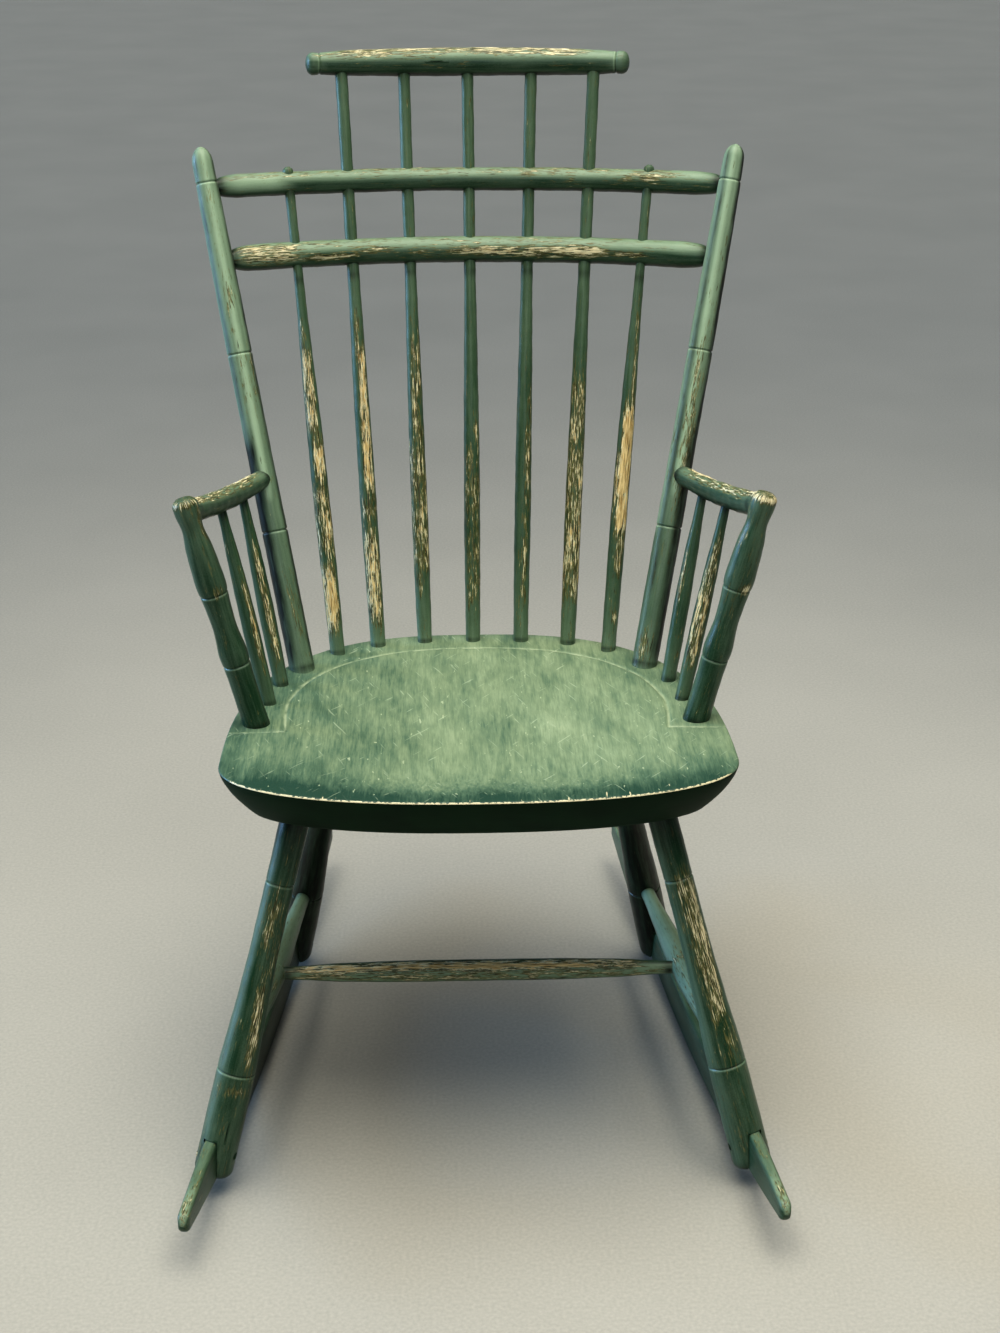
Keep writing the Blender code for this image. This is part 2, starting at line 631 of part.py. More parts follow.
def runner(name, side, grow, finish=None):
    curve = bpy.data.curves.new(name, "CURVE")
    curve.dimensions = "2D"
    curve.fill_mode = "BOTH"
    curve.extrude = ROCKER_THICKNESS / 2 + grow
    outline = runner_outline(grow)
    spline = curve.splines.new("POLY")
    spline.points.add(len(outline) - 1)
    spline.use_cyclic_u = True
    for knot, (along, height) in zip(spline.points, outline):
        knot.co = (along, height, 0.0, 1.0)
    board = bpy.data.objects.new(name + "_outline", curve)
    bpy.context.scene.collection.objects.link(board)
    bpy.context.view_layer.update()
    mesh = bpy.data.meshes.new_from_object(board.evaluated_get(bpy.context.evaluated_depsgraph_get()))
    bpy.data.objects.remove(board, do_unlink=True)
    weld = bmesh.new()
    weld.from_mesh(mesh)
    bmesh.ops.remove_doubles(weld, verts=weld.verts, dist=0.00001)
    bmesh.ops.recalc_face_normals(weld, faces=weld.faces)
    weld.to_mesh(mesh)
    weld.free()
    mesh.materials.clear()
    piece = place(name, mesh, finish)
    along_chair = Matrix.Rotation(math.pi / 2 + side * ROCKER_TOE, 4, "Z")
    upright = Matrix.Rotation(math.pi / 2, 4, "X")
    piece.matrix_world = Matrix.Translation((side * ROCKER_MID_X, 0, 0)) @ along_chair @ upright
    return piece


rockers = {}
for label, side in SIDES:
    name = "rocker_" + label
    rockers[side] = (runner(name, side, 0.0, dark_green), runner(name + "_slot", side, CLEARANCE))


# Legs, pinned to the rockers

def leg_axis(side, foot_y, socket):
    """World points where a leg meets the middle of its runner and the underside of the seat."""
    along = foot_y / math.cos(ROCKER_TOE)
    middle = runner_edge(along) + runner_depth(along) / 2
    at_runner = Vector((side * (ROCKER_MID_X - foot_y * math.tan(ROCKER_TOE)), foot_y, middle))
    return at_runner, on_seat(side * socket[0], socket[1], -SEAT_THICKNESS)


def leg(name, side, foot_y, socket):
    at_runner, at_seat = leg_axis(side, foot_y, socket)
    direction = (at_seat - at_runner).normalized()
    foot = at_runner - direction * (runner_depth(foot_y) / 2 - FOOT_OVER_SOLE) / direction.z
    seat_line = length_to(foot, at_seat, 1.0)
    upper_ring, lower_ring = seat_line - LEG_UPPER_RING, seat_line - LEG_LOWER_RING
    profile = [
        (0.0, 0.94 * LEG_FOOT_RADIUS), (0.004, LEG_FOOT_RADIUS),
        (lower_ring - 2 * RING_HALF_WIDTH, LEG_LOWER_RING_RADIUS),
        (lower_ring + 2 * RING_HALF_WIDTH, LEG_LOWER_RING_RADIUS),
        (lower_ring + 0.45 * (upper_ring - lower_ring), 1.05 * LEG_WAIST_RADIUS),
        (lower_ring + 0.75 * (upper_ring - lower_ring), 0.97 * LEG_WAIST_RADIUS),
        (upper_ring + 2 * RING_HALF_WIDTH, LEG_UPPER_RING_RADIUS),
        (seat_line, LEG_TOP_RADIUS), (seat_line + LEG_SOCKET, LEG_TENON_RADIUS),
    ]
    profile = with_rings(profile, (upper_ring, lower_ring))
    top = foot + direction * (seat_line + LEG_SOCKET)
    piece, tenon = stick(name, foot, top, profile, POST_SIDES, dark_green)
    cut(seat, tenon)
    cut(piece, rockers[side][1])
    across_runner = Vector((math.cos(ROCKER_TOE), side * math.sin(ROCKER_TOE), 0.0)) * side
    pin_start = at_runner - across_runner * PIN_LENGTH / 2
    pin_profile = [(0.0, PIN_RADIUS), (PIN_LENGTH, PIN_RADIUS)]
    bore_profile = [(-PIN_LENGTH / 4, PIN_RADIUS + CLEARANCE), (1.25 * PIN_LENGTH, PIN_RADIUS + CLEARANCE)]
    pin_end = at_runner + across_runner * PIN_LENGTH / 2
    pin_name = "rocker_pin_" + name.replace("_leg", "")
    turned(pin_name, pin_start, pin_end, pin_profile, PIN_SIDES, bare_wood)
    bore = turned(pin_name + "_bore", pin_start, pin_end, bore_profile, PIN_SIDES)
    cut(piece, bore)
    cut(rockers[side][0], bore)
    return piece, foot + direction * lower_ring


# Stretchers, let into the legs at their lower rings

stretcher_middles = {}
side_stretchers = {}
for label, side in SIDES:
    front_leg, front_joint = leg("front_leg_" + label, side, FRONT_FOOT_Y, FRONT_LEG_SOCKET)
    rear_leg, rear_joint = leg("rear_leg_" + label, side, REAR_FOOT_Y, REAR_LEG_SOCKET)
    direction = (rear_joint - front_joint).normalized()
    start = front_joint - direction * STRETCHER_TENON_PAST
    end = rear_joint + direction * STRETCHER_TENON_PAST
    whole = (end - start).length
    tenon = LEG_LOWER_RING_RADIUS + STRETCHER_TENON_PAST
    profile = [
        (0.0, STRETCHER_END_RADIUS), (tenon, STRETCHER_END_RADIUS),
        (0.28 * whole, 0.78 * STRETCHER_SWELL_RADIUS), (0.42 * whole, 0.97 * STRETCHER_SWELL_RADIUS),
        (0.5 * whole, STRETCHER_SWELL_RADIUS), (0.58 * whole, 0.97 * STRETCHER_SWELL_RADIUS),
        (0.72 * whole, 0.78 * STRETCHER_SWELL_RADIUS),
        (whole - tenon, STRETCHER_END_RADIUS), (whole, STRETCHER_END_RADIUS),
    ]
    stretcher, socket = stick("side_stretcher_" + label, start, end, profile, STICK_SIDES, dark_green)
    side_stretchers[side] = stretcher
    cut(front_leg, socket)
    cut(rear_leg, socket)
    stretcher_middles[side] = (start + end) / 2

start = stretcher_middles[-1] + Vector((CROSS_TENON_SHY, 0, 0))
end = stretcher_middles[1] - Vector((CROSS_TENON_SHY, 0, 0))
whole = (end - start).length
tenon = STRETCHER_SWELL_RADIUS - CROSS_TENON_SHY
profile = [
    (0.0, CROSS_STRETCHER_END_RADIUS), (tenon, CROSS_STRETCHER_END_RADIUS),
    (0.16 * whole, 0.86 * CROSS_STRETCHER_RADIUS), (0.36 * whole, CROSS_STRETCHER_RADIUS),
    (0.64 * whole, CROSS_STRETCHER_RADIUS), (0.84 * whole, 0.86 * CROSS_STRETCHER_RADIUS),
    (whole - tenon, CROSS_STRETCHER_END_RADIUS), (whole, CROSS_STRETCHER_END_RADIUS),
]
_, socket = stick("cross_stretcher", start, end, profile, STICK_SIDES, worn_green)
cut(side_stretchers[-1], socket)
cut(side_stretchers[1], socket)
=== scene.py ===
"""Looks for a spindle-back Windsor rocking armchair with a comb, in old green paint.

The sections follow the chair as it is put together: seat, rockers, legs and stretchers, then the
posts, rails, spindles and comb of the back, and the arms. Each piece stands for the CAD node of its
name and lies where that node lies.
"""
import math

import bpy
import numpy as np
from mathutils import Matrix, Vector


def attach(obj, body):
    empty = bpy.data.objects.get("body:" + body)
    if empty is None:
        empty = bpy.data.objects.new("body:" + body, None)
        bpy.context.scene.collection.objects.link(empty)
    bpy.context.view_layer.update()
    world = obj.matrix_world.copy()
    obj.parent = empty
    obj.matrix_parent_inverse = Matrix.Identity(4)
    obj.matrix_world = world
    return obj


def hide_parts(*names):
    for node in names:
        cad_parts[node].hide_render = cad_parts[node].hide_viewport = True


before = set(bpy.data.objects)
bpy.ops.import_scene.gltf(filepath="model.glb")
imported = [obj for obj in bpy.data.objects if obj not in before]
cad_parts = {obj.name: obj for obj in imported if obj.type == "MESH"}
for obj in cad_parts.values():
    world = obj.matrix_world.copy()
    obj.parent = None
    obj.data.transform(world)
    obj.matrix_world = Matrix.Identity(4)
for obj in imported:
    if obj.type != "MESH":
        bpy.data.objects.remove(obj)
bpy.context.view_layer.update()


# Studio: a plain pale floor under a wide skylight, with a softbox over the chair, a blue window away
# to the left and a paler one far behind the camera, which looks down on the seat from in front.

CAMERA_SPOT = (-0.030, -1.807, 1.260)
CAMERA_PITCH = math.radians(24.48)
CAMERA_YAW = math.radians(1.7)
CAMERA_LENS = 54.07  # mm, for a long side of 36 mm


def set_up(thing, spot, way):
    """Put a camera or a lamp in the scene at a spot, turned the way that it looks or shines."""
    thing.location = spot
    thing.rotation_mode = "QUATERNION"
    thing.rotation_quaternion = Vector(way).to_track_quat("-Z", "Y")
    bpy.context.scene.collection.objects.link(thing)


camera = bpy.data.objects.new("camera", bpy.data.cameras.new("camera"))
camera.data.lens = CAMERA_LENS
level = math.cos(CAMERA_PITCH)
set_up(camera, CAMERA_SPOT, (
    math.sin(CAMERA_YAW) * level, math.cos(CAMERA_YAW) * level, -math.sin(CAMERA_PITCH)))
bpy.context.scene.camera = camera
view = bpy.context.scene.view_settings
view.view_transform = "Standard"  # plain sRGB with deep shadows, as the photograph is
view.look = "Medium High Contrast"

LAMPS = {
    # name: (place, the way it shines, watts, colour, width in metres, spread in degrees)
    "overhead_softbox": ((0.05, -0.25, 2.60), (-0.02, 0.13, -2.60), 16.2, "fff8ea", 2.0, 88),
    "far_window": ((-0.10, -3.60, 1.95), (0.10, 3.80, -1.25), 18.0, "e6f0ff", 0.8, 180),
    # Two are too far away for a place: watts per square metre, and how wide they seem in degrees.
    "skylight": (None, (0.0, 0.0, -1.0), 1.27, "ffffff", None, 72),
    "left_window": (None, (8.0, -1.8, -0.8), 3.7, "9ccaff", None, 26),
}


def linear(hex_colour):
    """An sRGB hex colour as linear RGBA."""
    channels = [int(hex_colour[i:i + 2], 16) / 255 for i in (0, 2, 4)]
    return [c / 12.92 if c <= 0.04045 else ((c + 0.055) / 1.055) ** 2.4 for c in channels] + [1.0]


for name, (spot, way, power, colour, width, angle) in LAMPS.items():
    light = bpy.data.lights.new(name, "AREA" if spot else "SUN")
    light.energy = power
    light.color = linear(colour)[:3]
    if spot:
        light.shape = "SQUARE"
        light.size = width
        light.spread = math.radians(angle)
    else:
        light.angle = math.radians(angle)
    set_up(bpy.data.objects.new(name, light), spot or (0, 0, 0), way)

ROOM_LIGHT = "e9e7de"
ROOM_STRENGTH = 0.050  # as it lights the chair
ROOM_SEEN = 0.30  # as it is seen behind the floor


def fill(tree, socket, value):
    """Link an output to a socket, or set the socket to a plain value."""
    if isinstance(value, bpy.types.NodeSocket):
        tree.links.new(value, socket)
    else:
        socket.default_value = value


def add(tree, kind, settings, sockets, take=None):
    """Add a node with its settings and its sockets' values or links, and give the output it is used for."""
    made = tree.nodes.new("ShaderNode" + kind)
    for name, value in settings.items():
        setattr(made, name, value)
    for name, value in sockets.items():
        fill(tree, next(s for s in made.inputs if name in (s.identifier, s.name)), value)
    return next((s for s in made.outputs if take in (s.identifier, s.name)), made.outputs[0])


def ramp(tree, value, low, high, start=0.0, end=1.0):
    """The value between low and high, spread from start to end and held at both."""
    return add(tree, "MapRange", {}, {
        "Value": value, "From Min": low, "From Max": high, "To Min": start, "To Max": end})


def set_shader(tree, shader, **sockets):
    """Link or set the shader's sockets, written with _ for a space."""
    for name, value in sockets.items():
        fill(tree, shader.inputs[name.replace("_", " ")], value)


room = bpy.data.worlds.new("studio_room")
room.use_nodes = True
tree = room.node_tree
seen = add(tree, "LightPath", {}, {}, "Is Camera Ray")
set_shader(tree, tree.nodes["Background"], Color=linear(ROOM_LIGHT),
           Strength=ramp(tree, seen, 0.0, 1.0, ROOM_STRENGTH, ROOM_SEEN))
bpy.context.scene.world = room

FLOOR_REACH = 60.0
FLOOR_BLOTCH = 0.35  # size of the faint unevenness, in metres
FLOOR_GRIT = 0.0035  # several times too coarse, so that it shows


def combine(tree, operation, *values):
    """The outcome of a plain operation on outputs or numbers."""
    return add(tree, "Math", {"operation": operation}, dict(zip(("Value", "Value_001", "Value_002"), values)))


def add_shares(tree, base, shares):
    """The base with more put on it, as (output, amount) pairs."""
    for part, amount in shares:
        base = combine(tree, "MULTIPLY_ADD", part, amount, base)
    return base


def noise(tree, place, width, detail, roughness=0.5):
    """Noise in grains of this width, in metres."""
    return add(tree, "TexNoise", {}, {
        "Vector": place, "Scale": 1 / width, "Detail": detail, "Roughness": roughness})


def blend(tree, share, under, over):
    """The under colour with a share of the over colour on it. Each is an output or a hex colour."""
    under, over = (linear(colour) if isinstance(colour, str) else colour for colour in (under, over))
    return add(tree, "Mix", {"data_type": "RGBA"}, {
        "Factor_Float": share, "A_Color": under, "B_Color": over}, "Result_Color")


def new_material(name):
    """An empty material with its node tree and its shader."""
    material = bpy.data.materials.new(name)
    material.use_nodes = True
    return material, material.node_tree, material.node_tree.nodes["Principled BSDF"]


floor_mesh = bpy.data.meshes.new("floor")
corners = [(x * FLOOR_REACH, y * FLOOR_REACH, 0) for x, y in ((-1, -1), (1, -1), (1, 1), (-1, 1))]
floor_mesh.from_pydata(corners, [], [(0, 1, 2, 3)])
floor = bpy.data.objects.new("floor", floor_mesh)
bpy.context.scene.collection.objects.link(floor)
# Matt studio floor paint: pale warm grey with a very faint unevenness and no gloss.
floor_paint, tree, shader = new_material("matt_floor_paint")
place = add(tree, "TexCoord", {}, {}, "Object")
blotch = noise(tree, place, FLOOR_BLOTCH, 4.0)
uneven = add_shares(tree, noise(tree, place, FLOOR_GRIT, 2.0), ((blotch, 0.5),))
set_shader(tree, shader, Base_Color=blend(tree, uneven, "9b9a91", "b9b7ac"), Roughness=0.9,
           Specular_IOR_Level=0.2)
floor_mesh.materials.append(floor_paint)


# Seat: one thick pine plank, sawn to a shield outline with a deep bevel below, dished on top and
# scribed with a line round the stick holes. Its green paint has gone chalky where people sat.

SEAT_FRONT_Y = -0.243
SEAT_FRONT_HEIGHT = 0.415
SEAT_TILT = math.radians(2.5)
SEAT_HALF_WIDTH = 0.2415
SEAT_FRONT_REACH = 0.0915  # from the widest line to the front edge
SEAT_BACK_REACH = 0.3255  # from the widest line to the back edge
SEAT_FRONT_SQUARENESS = 2.36
SEAT_BACK_SQUARENESS = 2.68
SEAT_THICKNESS = 0.045
SEAT_UNDERCUT = 0.030
SEAT_BACK_UNDERCUT = 0.016
SEAT_DISH = 0.012
FRONT_RIM = 0.008  # flat band left along the front edge
SPINDLE_PLATFORM = 0.040  # and round the back
SEAT_STEPS = 280  # points round the outline, and more where the scribed line ends
# The eased top edge, as (in from the edge, height).
ARRIS = ((0.00030, -0.00150), (0.00075, -0.00070), (0.00140, -0.00022), (0.00240, 0.0))
SCRIBE_BEARINGS = (0, 11, 25, 40, 60, 90)  # degrees round from the side to the middle of the back
SCRIBE_SHARES = (0.80, 0.775, 0.835, 0.855, 0.863, 0.877)  # how far out the scribed line is there
SCRIBE_TURN = 0.164  # where it turns out to the sides, back from the front edge
SCRIBE_ENDS = (0.985 * SEAT_HALF_WIDTH, SCRIBE_TURN - 0.003)  # across and back, at the right
SCRIBE_DEPTH = 0.0013
SCRIBE_HALF_WIDTH = 0.0017
SPINDLE_SPACING = 0.0508
SCALLOP_DEPTH = 0.0018  # the rim is worn hollow between the spindles
SCALLOPS_FROM = (0.27, 0.33)  # back from the front edge
RIM_SHARE = 0.965  # how far out the outermost ring inside the arris is
PLANE_DEPTH = 0.00022  # of the wavering marks that a hand plane left
PLANE_WAVES = 118  # across the seat, in radians per metre
PLANE_WAVER = (1.7, 31)  # how far they waver, in radians, and how fast, in radians per metre
FRONT_CHALK = -0.42  # the paint is least chalky at the front edge


def on_seat(plan_and_height):
    """World points from seat coordinates: across, back from the front edge, up from the top."""
    across, back, up = np.asarray(plan_and_height, float).T
    y = SEAT_FRONT_Y + back * math.cos(SEAT_TILT) + up * math.sin(SEAT_TILT)
    z = SEAT_FRONT_HEIGHT + up * math.cos(SEAT_TILT) - back * math.sin(SEAT_TILT)
    return np.column_stack((across, y, z))


def smooth_step(low, high, value):
    """0 below low, 1 above high, and an even passage between."""
    share = np.clip((value - low) / (high - low), 0.0, 1.0)
    return share * share * (3 - 2 * share)


def unit(vectors):
    """Vectors of the same ways and of length one."""
    return vectors / np.linalg.norm(vectors, axis=-1, keepdims=True)


def walk(line):
    """How far along a line each of its points lies."""
    return np.concatenate(((0.0,), np.cumsum(np.linalg.norm(np.diff(line, axis=0), axis=1))))


def ring_faces(count, size):
    """Faces that join rings of points, one after another, into a closed skin."""
    faces = [tuple(reversed(range(size)))]
    for i in range(count - 1):
        for j in range(size):
            k = (j + 1) % size
            faces.append((i * size + j, i * size + k, (i + 1) * size + k, (i + 1) * size + j))
    faces.append(tuple(range((count - 1) * size, count * size)))
    return faces


def make_piece(name, slot, points, faces, marks):
    """A smooth mesh for the CAD node of this name. The marks are values that its paint reads."""
    mesh = bpy.data.meshes.new(name)
    mesh.from_pydata(points, [], faces)
    for mark, values in marks.items():
        values = np.asarray(values, np.float32)
        kind, field = ("FLOAT_VECTOR", "vector") if values.ndim == 2 else ("FLOAT", "value")
        mesh.attributes.new(mark, kind, "POINT").data.foreach_set(field, values.ravel())
    mesh.shade_smooth()
    mesh.materials.append(paints[slot])
    piece = bpy.data.objects.new(name + "_look", mesh)
    bpy.context.scene.collection.objects.link(piece)
    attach(piece, "root")
    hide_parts(name)
    return piece


def distance_to_line(points, line):
    """Distance in plan from each point to a line of straight steps."""
    nearest = np.full(len(points), 9.0)
    for start, end in zip(line[:-1], line[1:]):
        run = end - start
        share = np.clip(((points - start) @ run) / (run @ run), 0.0, 1.0)
        nearest = np.minimum(nearest, np.linalg.norm(points - start - share[:, None] * run, axis=1))
    return nearest


def read_mark(tree, mark, take="Fac"):
    """A value that the mesh carries at each of its points."""
    return add(tree, "Attribute", {"attribute_name": mark}, {}, take)


# Old oil paint on pine: chalked and streaked along the grain on top, scratched all over, with cream
# chips along the front edge and a paler line along the scribed groove, which is a painted highlight.
SEAT_PATTERNS = {
    # name: (width across the grain in metres, shortening along it, turn in degrees, detail)
    "band": (0.034, 0.14, 0, 4.0),
    "streak": (0.0065, 0.12, 0, 5.0),
    "blotch": (0.055, 0.50, 12, 6.0),
    "bristle": (0.0018, 0.07, 0, 3.0),  # coarser than real bristle marks, so that they show
    "lump": (0.009, 0.70, 0, 3.0),  # runs and thick places in the paint
    "chip": (0.0030, 1.00, 0, 4.0),
    "fleck": (0.0045, 0.35, 0, 2.0),  # scattered knocks
    "scratch": (0.0024, 0.06, 24, 1.0),
    "cross_scratch": (0.0024, 0.06, -38, 1.0),
    "tick": (0.0042, 0.16, 0, 1.0),  # short cuts that run in from the front edge
}
CHALK_SHARES = {"blotch": 0.62, "band": 0.40, "streak": 0.50, "bristle": 0.48}
SEAT_TONES = ((0.0, "26483a"), (0.28, "536f58"), (0.50, "7a8f70"), (0.75, "98aa88"), (1.0, "b2c2a0"))
SEAT_LIMITS = {
    # what is drawn: (where its pattern or measure begins and is full, what it gives at both)
    "tone": (0.56, 1.50),
    "sheen": (0.45, 1.55, 0.42, 0.62),  # roughness
    "chip": (0.40, 0.56, 0.0009, 0.0018),  # reach from the front edge, in metres
    "chip_edge": (0.0, 0.0005),
    "tick": (0.69, 0.79, 0.0, 0.022),  # reach from the front edge, in metres
    "tick_edge": (0.0, 0.006, 0.0, 0.8),
    "line": (0.0005, 0.0024, 0.52, 0.0),
    "line_breaks": (0.30, 0.60),
    "fleck": (0.71, 0.75, 0.0, 0.7),
    "scratch": (0.71, 0.76, 0.0, 0.38),
}
CREAM = "e2d9b2"  # old undercoat
paints = {}  # the material of each slot
paints["seat_paint"], tree, shader = new_material("chalked_green_oil_paint")
grain = read_mark(tree, "grain", "Vector")
rim = read_mark(tree, "rim")
drawn = {}
for part, (width, shorten, turn, detail) in SEAT_PATTERNS.items():
    laid = add(tree, "Mapping", {"vector_type": "TEXTURE"}, {
        "Vector": grain, "Rotation": (0, 0, math.radians(turn)), "Scale": (1, 1 / shorten, 1)})
    drawn[part] = noise(tree, laid, width, detail, 0.66 if part in CHALK_SHARES else 0.5)
chalkiness = add_shares(
    tree, read_mark(tree, "chalk"), [(drawn[part], amount) for part, amount in CHALK_SHARES.items()])
shown = add(tree, "ValToRGB", {}, {"Fac": ramp(tree, chalkiness, *SEAT_LIMITS["tone"])}, "Color")
stops = shown.node.color_ramp.elements
for spot, colour in SEAT_TONES:
    stop = {0.0: stops[0], 1.0: stops[-1]}.get(spot) or stops.new(spot)
    stop.color = linear(colour)
# The paint is off along the front edge itself, and in a few ticks that run in from it.
chipped, ticked = (
    ramp(tree, combine(tree, "SUBTRACT", ramp(tree, drawn[part], *SEAT_LIMITS[part]), rim),
         *SEAT_LIMITS[part + "_edge"]) for part in ("chip", "tick"))
# Painted highlight: a paler line along the lit lip of the scribed groove, broken here and there.
scribed = combine(tree, "MULTIPLY", ramp(tree, read_mark(tree, "scribe"), *SEAT_LIMITS["line"]),
                  ramp(tree, drawn["lump"], *SEAT_LIMITS["line_breaks"]))
flecks = ramp(tree, drawn["fleck"], *SEAT_LIMITS["fleck"])
scratches = combine(tree, "MAXIMUM", drawn["scratch"], drawn["cross_scratch"])
scratches = ramp(tree, scratches, *SEAT_LIMITS["scratch"])
for share, colour in ((scratches, "c4d4b4"), (scribed, "c3d2ae"), (flecks, "bccaa6"),
                      (ticked, CREAM), (chipped, CREAM)):
    shown = blend(tree, share, shown, colour)
height = add_shares(tree, drawn["streak"], ((drawn["bristle"], 0.5), (drawn["lump"], 2.2), (chipped, -1.0)))
relief = add(tree, "Bump", {}, {"Height": height, "Strength": 0.45, "Distance": 0.0004})
sheen = ramp(tree, chalkiness, *SEAT_LIMITS["sheen"])
set_shader(tree, shader, Base_Color=shown, Roughness=sheen, Normal=relief, IOR=1.48)

# The same paint on the bevel and below, where nobody rubs it: nearly black-green with old dirt and
# painted shade, dull, and faintly ridged along the saw and spokeshave marks.
SHAVE_WIDTH = 0.006
DIRT_BLOTCH = 0.045
bevel_paint, tree, shader = new_material("dirty_green_oil_paint")
grain = read_mark(tree, "grain", "Vector")
shaved = add(tree, "VectorMath", {"operation": "MULTIPLY"}, {"Vector": grain, "Vector_001": (0.15, 0.15, 1)})
relief = add(tree, "Bump", {}, {
    "Height": noise(tree, shaved, SHAVE_WIDTH, 4.0), "Strength": 0.4, "Distance": 0.0004})
# Nearly black-green: old dirt and painted shade on the faces that look down.
dirty = blend(tree, noise(tree, grain, DIRT_BLOTCH, 6.0), "061309", "13341b")
set_shader(tree, shader, Base_Color=dirty, Normal=relief, Roughness=0.62, Specular_IOR_Level=0.12)


def seat_outline(turns):
    """Plan points of the seat's edge, which is a flatter curve in front than behind."""
    cosine, sine = np.cos(turns), np.sin(turns)
    squareness = np.where(sine > 0, SEAT_BACK_SQUARENESS, SEAT_FRONT_SQUARENESS)
    reach = np.where(sine > 0, SEAT_BACK_REACH, SEAT_FRONT_REACH)
    return np.column_stack((
        np.sign(cosine) * np.abs(cosine) ** (2 / squareness) * SEAT_HALF_WIDTH,
        SEAT_FRONT_REACH + np.sign(sine) * np.abs(sine) ** (2 / squareness) * reach))


fine_turns = np.linspace(0.0, math.tau, 6001)
walked = walk(seat_outline(fine_turns))
turns = np.interp(np.arange(SEAT_STEPS) / SEAT_STEPS * walked[-1], walked, fine_turns)
side_slopes = np.linspace(0.26, 0.44, 40)  # rays that cross the ends of the scribed line
side_turns = np.arctan((side_slopes * SEAT_HALF_WIDTH / SEAT_BACK_REACH) ** (SEAT_BACK_SQUARENESS / 2))
turns = np.unique(np.round(np.concatenate((turns, side_turns, math.pi - side_turns)), 6))
size = len(turns)
sine = np.sin(turns)
seat_edge = seat_outline(turns)
run = np.roll(seat_edge, -1, axis=0) - np.roll(seat_edge, 1, axis=0)
inward = unit(np.column_stack((-run[:, 1], run[:, 0])))
backness = smooth_step(-0.3, 0.5, sine)
undercut = SEAT_UNDERCUT + (SEAT_BACK_UNDERCUT - SEAT_UNDERCUT) * backness
underside = seat_edge + inward * undercut[:, None]
dish_rim = ((1 - FRONT_RIM / SEAT_FRONT_REACH) * (1 - backness)
            + (1 - SPINDLE_PLATFORM / SEAT_BACK_REACH) * backness)
seat_middle = np.array((0.0, SEAT_FRONT_REACH))
scribe_share = np.interp(np.degrees(np.arcsin(np.maximum(sine, 0.0))), SCRIBE_BEARINGS, SCRIBE_SHARES)


def inner_ring(edge, share):
    """Plan points at a share of the way from the middle of the seat to an edge round it."""
    return seat_middle + (edge - seat_middle) * np.reshape(share, (-1, 1))


def top_ring(share):
    """A ring on the dished top at these shares, with hollows between the spindles."""
    plan = inner_ring(seat_edge, share)
    dish = SEAT_DISH * (1 - np.minimum(share / dish_rim, 1.0) ** 2) ** 2
    on_rim = np.clip((share - scribe_share) / (1 - scribe_share), 0.0, 1.0)
    between = 0.5 - 0.5 * np.cos(math.tau * plan[:, 0] / SPINDLE_SPACING)
    behind = smooth_step(*SCALLOPS_FROM, plan[:, 1])
    return plan, -dish - SCALLOP_DEPTH * between * behind * np.sin(math.pi * on_rim) ** 0.7, False


rings = []  # each (plan points, heights, whether it is below the edge)
for share in (0.25, 0.55, 0.85):  # across the flat underside
    rings.append((inner_ring(underside, share), -SEAT_THICKNESS, True))
for step in np.linspace(1.0, 0.05, 18):  # up the bevel
    rings.append((seat_edge + inward * (undercut * step ** 1.5)[:, None], -SEAT_THICKNESS * step, True))
for inset, drop in ARRIS:
    rings.append((seat_edge + inward * inset, drop, False))
for out in (1.0, 0.82, 0.65, 0.50, 0.36, 0.23, 0.14, 0.08, 0.04):  # from the rim in to the scribed line
    rings.append(top_ring(scribe_share + (RIM_SHARE - scribe_share) * out))
for inner in np.concatenate(((1.0, 0.996, 0.992, 0.986, 0.976), np.linspace(0.955, 0.03, 44))):
    rings.append(top_ring(scribe_share * inner))
seat_plan = np.vstack([plan for plan, _, _ in rings])
seat_up = np.concatenate([np.broadcast_to(up, size) for _, up, _ in rings])
seat_under = np.repeat([under for _, _, under in rings], size)
across, back = seat_plan.T

from_edge = distance_to_line(seat_plan, np.vstack((seat_edge, seat_edge[:1])))
from_front = distance_to_line(seat_plan, seat_edge[sine < -0.55])
seat_rim = np.where(seat_under, 0.001 - seat_up, from_edge)
seat_rim += 0.02 * smooth_step(0.05, 0.10, back)  # the paint is whole round the sides and back
scribe_curve = inner_ring(seat_edge, scribe_share)
scribe_curve = scribe_curve[(scribe_curve[:, 1] > SCRIBE_TURN) & (sine > 0)]
scribe_line = np.vstack((SCRIBE_ENDS, scribe_curve, np.multiply(SCRIBE_ENDS, (-1, 1))))
scribe_gap = np.where(seat_under, 0.1, distance_to_line(seat_plan, scribe_line))
waver = PLANE_WAVER[0] * np.sin(back * PLANE_WAVER[1])
plane_marks = PLANE_DEPTH * np.sin(across * PLANE_WAVES + waver)
seat_up = seat_up - SCRIBE_DEPTH * np.exp(-(scribe_gap / SCRIBE_HALF_WIDTH) ** 2)
seat_up += np.where(seat_under, 0.0, plane_marks * smooth_step(0.0, 0.03, from_edge))
# Chalkier away from the front edge, and less so towards the left and towards both sides.
seat_chalk = FRONT_CHALK + sum(amount * smooth_step(low, high, place) for place, low, high, amount in (
    (from_front, 0.005, 0.044, 0.32), (from_front, 0.030, 0.085, 0.14),
    (-across, 0.04, 0.12, -0.12), (np.abs(across), 0.10, 0.20, -0.05)))
faces = ring_faces(len(rings), size)
seat_points = np.column_stack((seat_plan, seat_up))
seat_piece = make_piece("seat", "seat_paint", on_seat(seat_points), faces, {
    "grain": seat_points, "chalk": seat_chalk, "rim": seat_rim, "scribe": scribe_gap})
seat_piece.data.materials.append(bevel_paint)
seat_piece.data.polygons.foreach_set("material_index", [int(seat_under[face[0]]) for face in faces])


# Rockers: two boards sawn to a long sweep, tapering to rounded tips, set on edge in the slotted
# feet. Their edges are eased, and feet have rubbed the paint thin along the front of the top edge.

